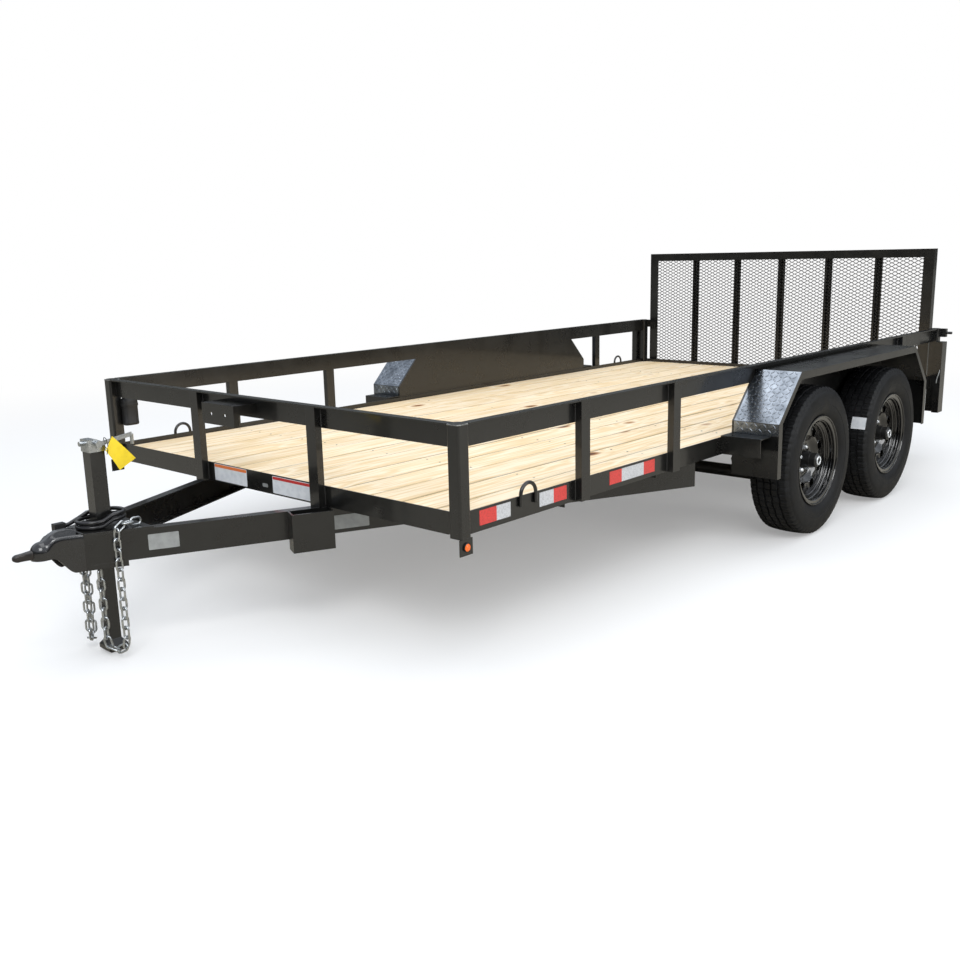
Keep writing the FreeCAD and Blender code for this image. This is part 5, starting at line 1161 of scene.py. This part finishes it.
# Welds
def make_welds():
    """Beads of weld where the posts meet the frame and the rails, at the coupler and round the
    jack: rows of flat scales, each an oval cap 2 mm high set 3.5 mm after the last."""
    pitch, lean_share, clear, slope, post_width = 0.0035, 0.45, 0.004, 0.7, 0.051
    oval, flat = circle(8), np.zeros((8, 1))
    count = np.arange(8)
    after = (count + 1) % 8
    scale = (np.concatenate([np.hstack([oval * 0.0042, flat - 0.0012]),
                             np.hstack([oval * 0.0032, flat + 0.0013]), [0.0021 * Z]]),
             np.concatenate([np.stack([count, after, after + 8], -1),
                             np.stack([count, after + 8, count + 8], -1),
                             np.stack([count + 8, after + 8, np.full(8, 16)], -1),
                             np.stack([count[:6] * 0, count[2:], count[1:7]], -1)]))
    low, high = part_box("side_frame_left")
    rail_low, rail_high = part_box("rail_left")
    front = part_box("end_beams")[0].y
    heights = ((low.z + clear, high.z - clear), (rail_low.z + clear, rail_high.z - 0.010))
    # The fronts of the three posts on each side
    starts = (front + 0.6008, front + 1.2110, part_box("side_posts")[1].y - post_width)
    # Each run of weld is its start, its end and the way that it faces
    runs = []
    for _, sign in SIDES:
        x = sign * high.x
        for start in starts:
            for y, way in ((start, -1), (start + post_width, 1)):
                runs += [((x, y, bottom), (x, y, top), (sign * slope, way * slope, 0))
                         for bottom, top in heights]
        for way in (-1, 1):
            edge = x * 0.349 + way * post_width / 2
            runs += [((edge, front, bottom), (edge, front, top), (way * slope, -slope, 0))
                     for bottom, top in heights]
    # The seam between the coupler and the top plate, and round the jack's tube
    (_, nose, _), (_, _, plate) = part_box("jack_plate")
    tube_low, tube_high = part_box("jack_tube")
    runs.append(((-0.058, nose, plate), (0.058, nose, plate), (0, 0, 1)))
    for sign in (-1, 1):
        runs.append(((sign * tube_high.x, tube_low.y, plate),
                     (sign * tube_high.x, tube_high.y, plate), (sign * slope, 0, slope)))
    runs.append(((tube_low.x, tube_low.y, plate), (tube_high.x, tube_low.y, plate),
                 (0, -slope, slope)))
    places, turns = [], []
    for start, end, normal in runs:
        start, end, normal = (np.asarray(v, float) for v in (start, end, normal))
        length = np.linalg.norm(end - start)
        along = (end - start) / length
        share = (np.arange(int(length / pitch)) + 0.5)[:, None] * pitch / length
        lean = normal / np.linalg.norm(normal) + along * lean_share
        lean /= np.linalg.norm(lean)
        first = np.cross(along, lean)
        first /= np.linalg.norm(first)
        places.append(start + (end - start) * share)
        turns.append(np.tile(np.stack([first, np.cross(lean, first), lean], 1),
                             (len(share), 1, 1)))
    mesh_piece("weld_beads", copies(scale, np.concatenate(places), np.concatenate(turns)),
               "weld", "chassis", 60)


# Studio
def make_studio():
    """A pale floor that keeps the trailer's shadow, a white surround and soft lamps."""
    white = (1, 1, 1, 1)
    made, tree, place = material("studio_floor")
    rays = add(tree, "ShaderNodeLightPath", {})
    # Steel that mirrors the floor shows the warm ground of a yard
    shade = add(tree, "ShaderNodeMix", {
        "data_type": "RGBA", "Factor": rays["Is Glossy Ray"],
        "A": linear("F4F4F3"), "B": linear("B3AC9D")})
    ground = add(tree, "ShaderNodeBsdfPrincipled", {
        "Base Color": shade["Result"], "Roughness": 0.9})
    # To the camera the floor turns white with the distance from the trailer
    distance = add(tree, "ShaderNodeVectorMath", {"operation": "LENGTH", 0: place})
    fade = add(tree, "ShaderNodeMapRange", {
        "interpolation_type": "SMOOTHSTEP", "Value": distance["Value"],
        "From Min": 2.6, "From Max": 8.0, "To Min": 0.3})
    shown = add(tree, "ShaderNodeMath", {
        "operation": "MULTIPLY", 0: rays["Is Camera Ray"], 1: fade["Result"]})
    glow = add(tree, "ShaderNodeEmission", {"Color": white, "Strength": 1.0})
    mix = add(tree, "ShaderNodeMixShader", {
        "Fac": shown["Value"], 1: ground["BSDF"], 2: glow["Emission"]})
    add(tree, "ShaderNodeOutputMaterial", {"Surface": mix["Shader"]})
    rim = np.hstack([circle(64) * 60, np.zeros((64, 1))])
    mesh = bpy.data.meshes.new("studio_floor")
    mesh.from_pydata(rim.tolist(), [], [list(range(64))])
    mesh.materials.append(made)
    floor = bpy.data.objects.new("studio_floor", mesh)
    bpy.context.scene.collection.objects.link(floor)

    world = bpy.data.worlds.new("studio")
    bpy.context.scene.world = world
    world.use_nodes = True
    tree = world.node_tree
    tree.nodes.clear()
    # Open sky overhead, a darker tree line near the ground
    facing = add(tree, "ShaderNodeTexCoord", {})["Generated"]
    split = add(tree, "ShaderNodeSeparateXYZ", {"Vector": facing})
    sky = add(tree, "ShaderNodeValToRGB", {
        "Fac": split["Z"], "stops": ((0.0, "3C3E3A"), (0.16, "4C4F4C"), (0.42, "E9F0FA"))})
    dim = add(tree, "ShaderNodeBackground", {"Color": sky["Color"], "Strength": 0.9})
    bright = add(tree, "ShaderNodeBackground", {"Color": white, "Strength": 1.0})
    rays = add(tree, "ShaderNodeLightPath", {})
    seen = add(tree, "ShaderNodeMath", {
        "operation": "MAXIMUM", 0: rays["Is Camera Ray"], 1: rays["Is Transmission Ray"]})
    mix = add(tree, "ShaderNodeMixShader", {
        "Fac": seen["Value"], 1: dim["Background"], 2: bright["Background"]})
    add(tree, "ShaderNodeOutputWorld", {"Surface": mix["Shader"]})

    for name, place, aim, power, wide, tall in (
            ("key_lamp", (5.0, -5.5, 6.5), (0, 0, 0.4), 330, 4.0, 4.0),
            ("sky_lamp", (0.0, 0.5, 7.5), (0, 0.5, 0), 238, 7.0, 7.0),
            ("side_lamp", (8.0, 2.0, 3.0), (0, 0, 0.5), 160, 4.0, 3.0)):
        data = bpy.data.lights.new(name, "AREA")
        data.shape = "RECTANGLE"
        data.size, data.size_y, data.energy = wide, tall, power
        lamp = bpy.data.objects.new(name, data)
        heading = Vector(aim) - Vector(place)
        turn = heading.to_track_quat("-Z", "Y").to_matrix().to_4x4()
        lamp.matrix_world = Matrix.Translation(place) @ turn
        bpy.context.scene.collection.objects.link(lamp)


def make_camera():
    """The photograph's camera: where it stood, how it was turned and its lens."""
    frame_size, sensor, focus, middle = 960, 36.0, 1006.418, (482.364, 474.679)
    azimuth, height, roll = (math.radians(v) for v in (42.2696, 12.3304, -1.294))
    back = np.array([math.sin(azimuth) * math.cos(height),
                     -math.cos(azimuth) * math.cos(height), math.sin(height)])
    right = np.array([math.cos(azimuth), math.sin(azimuth), 0.0])
    up = np.cross(back, right)
    across = right * math.cos(roll) + up * math.sin(roll)
    upward = up * math.cos(roll) - right * math.sin(roll)
    data = bpy.data.cameras.new("photo_camera")
    data.sensor_width = sensor
    data.lens = focus / frame_size * sensor
    data.shift_x = (frame_size / 2 - middle[0]) / frame_size
    data.shift_y = (middle[1] - frame_size / 2) / frame_size
    data.clip_end = 200
    camera = bpy.data.objects.new("photo_camera", data)
    turn = Matrix(np.stack([across, upward, back], 1).tolist()).to_4x4()
    camera.matrix_world = Matrix.Translation((3.1605, -3.9076, 1.3072)) @ turn
    bpy.context.scene.collection.objects.link(camera)
    bpy.context.scene.camera = camera


# Operators, one for each piece or group of like pieces
class TRAILER_OT_finishes(bpy.types.Operator):
    """Gives every steel, cast, zinc and plastic piece its finish."""
    bl_idname = "trailer.finishes"
    bl_label = "Paint the steelwork"

    def execute(self, context):
        make_finishes(context.scene.trailer_colours)
        for name, piece in NODES.items():
            finish = next(key for key, starts in NODE_FINISH.items() if name.startswith(starts))
            piece.data.materials.clear()
            piece.data.materials.append(FINISHES[finish])
        return {"FINISHED"}


class TRAILER_OT_boards(bpy.types.Operator):
    """Lays the timber deck and drives its screws."""
    bl_idname = "trailer.boards"
    bl_label = "Lay the deck"

    def execute(self, context):
        make_boards()
        return {"FINISHED"}


class TRAILER_OT_tyres(bpy.types.Operator):
    """Mounts the four tyres."""
    bl_idname = "trailer.tyres"
    bl_label = "Mount the tyres"

    def execute(self, context):
        for side, _ in SIDES:
            for row in ROWS:
                make_tyre(side, row)
        return {"FINISHED"}


class TRAILER_OT_rims(bpy.types.Operator):
    """Presses the four rims with their windows, lug nuts, caps and valves."""
    bl_idname = "trailer.rims"
    bl_label = "Fit the rims"

    def execute(self, context):
        for side, sign in SIDES:
            for row in ROWS:
                make_rim(side, sign, row)
                make_hub_trim(side, sign, row)
        return {"FINISHED"}


class TRAILER_OT_gate_mesh(bpy.types.Operator):
    """Welds the expanded metal into the tail gate."""
    bl_idname = "trailer.gate_mesh"
    bl_label = "Fit the gate mesh"

    def execute(self, context):
        make_gate_mesh(context.scene.trailer_sizes)
        return {"FINISHED"}


class TRAILER_OT_tread_plate(bpy.types.Operator):
    """Raises the tread on the fenders' sloping plates."""
    bl_idname = "trailer.tread_plate"
    bl_label = "Roll the tread plate"

    def execute(self, context):
        make_tread_plate(context.scene.trailer_sizes)
        return {"FINISHED"}


class TRAILER_OT_tape(bpy.types.Operator):
    """Sticks the red and white tape on the side frames."""
    bl_idname = "trailer.tape"
    bl_label = "Stick the tape"

    def execute(self, context):
        make_tape(context.scene.trailer_sizes)
        return {"FINISHED"}


class TRAILER_OT_labels(bpy.types.Operator):
    """Sticks the blank labels, and hangs the card and the thin wires."""
    bl_idname = "trailer.labels"
    bl_label = "Stick the labels"

    def execute(self, context):
        make_labels()
        return {"FINISHED"}


class TRAILER_OT_post_lips(bpy.types.Operator):
    """Rolls the lips on the front corner posts, light grey for a painted highlight."""
    bl_idname = "trailer.post_lips"
    bl_label = "Roll the post lips"

    def execute(self, context):
        make_post_lips()
        return {"FINISHED"}


class TRAILER_OT_lamps(bpy.types.Operator):
    """Fits the marker and tail lenses."""
    bl_idname = "trailer.lamps"
    bl_label = "Fit the lamps"

    def execute(self, context):
        make_lamps()
        return {"FINISHED"}


class TRAILER_OT_coupler(bpy.types.Operator):
    """Presses the coupler's shell and casts its latch."""
    bl_idname = "trailer.coupler"
    bl_label = "Press the coupler"

    def execute(self, context):
        make_coupler()
        make_latch()
        return {"FINISHED"}


class TRAILER_OT_holder(bpy.types.Operator):
    """Moulds the paper holder."""
    bl_idname = "trailer.holder"
    bl_label = "Fit the paper holder"

    def execute(self, context):
        make_holder()
        return {"FINISHED"}


class TRAILER_OT_bolts(bpy.types.Operator):
    """Bolts and straps the running gear."""
    bl_idname = "trailer.bolts"
    bl_label = "Bolt the springs"

    def execute(self, context):
        make_bolts()
        return {"FINISHED"}


class TRAILER_OT_chains(bpy.types.Operator):
    """Links the safety chains."""
    bl_idname = "trailer.chains"
    bl_label = "Hang the chains"

    def execute(self, context):
        make_chains()
        return {"FINISHED"}


class TRAILER_OT_welds(bpy.types.Operator):
    """Runs the weld beads."""
    bl_idname = "trailer.welds"
    bl_label = "Weld the frame"

    def execute(self, context):
        make_welds()
        return {"FINISHED"}


class TRAILER_OT_studio(bpy.types.Operator):
    """Sets the floor, the surround, the lamps and the camera."""
    bl_idname = "trailer.studio"
    bl_label = "Set the studio"

    def execute(self, context):
        make_studio()
        make_camera()
        return {"FINISHED"}


OPERATORS = (TRAILER_OT_finishes, TRAILER_OT_boards, TRAILER_OT_tyres, TRAILER_OT_rims,
             TRAILER_OT_gate_mesh, TRAILER_OT_tread_plate, TRAILER_OT_tape, TRAILER_OT_labels,
             TRAILER_OT_post_lips, TRAILER_OT_lamps, TRAILER_OT_coupler, TRAILER_OT_holder,
             TRAILER_OT_bolts, TRAILER_OT_chains, TRAILER_OT_welds, TRAILER_OT_studio)


class TRAILER_PT_sidebar(bpy.types.Panel):
    """Lists the sizes, the colours and the steps that dress the trailer."""
    bl_label = "Trailer"
    bl_space_type = "VIEW_3D"
    bl_region_type = "UI"
    bl_category = "Trailer"

    def draw(self, context):
        layout = self.layout
        for group in (context.scene.trailer_sizes, context.scene.trailer_colours):
            for name in group.bl_rna.properties.keys():
                if name not in ("rna_type", "name"):
                    layout.prop(group, name)
        for step in OPERATORS:
            layout.operator(step.bl_idname)


CLASSES = (TrailerSizes, TrailerColours, *OPERATORS, TRAILER_PT_sidebar)


def register():
    for kind in CLASSES:
        bpy.utils.register_class(kind)
    bpy.types.Scene.trailer_sizes = bpy.props.PointerProperty(type=TrailerSizes)
    bpy.types.Scene.trailer_colours = bpy.props.PointerProperty(type=TrailerColours)


def unregister():
    del bpy.types.Scene.trailer_colours
    del bpy.types.Scene.trailer_sizes
    for kind in reversed(CLASSES):
        bpy.utils.unregister_class(kind)


def main():
    """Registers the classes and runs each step."""
    register()
    bpy.context.scene.view_settings.view_transform = "Standard"
    for step in OPERATORS:
        group, name = step.bl_idname.split(".")
        getattr(getattr(bpy.ops, group), name)()


if __name__ == "__main__":
    main()
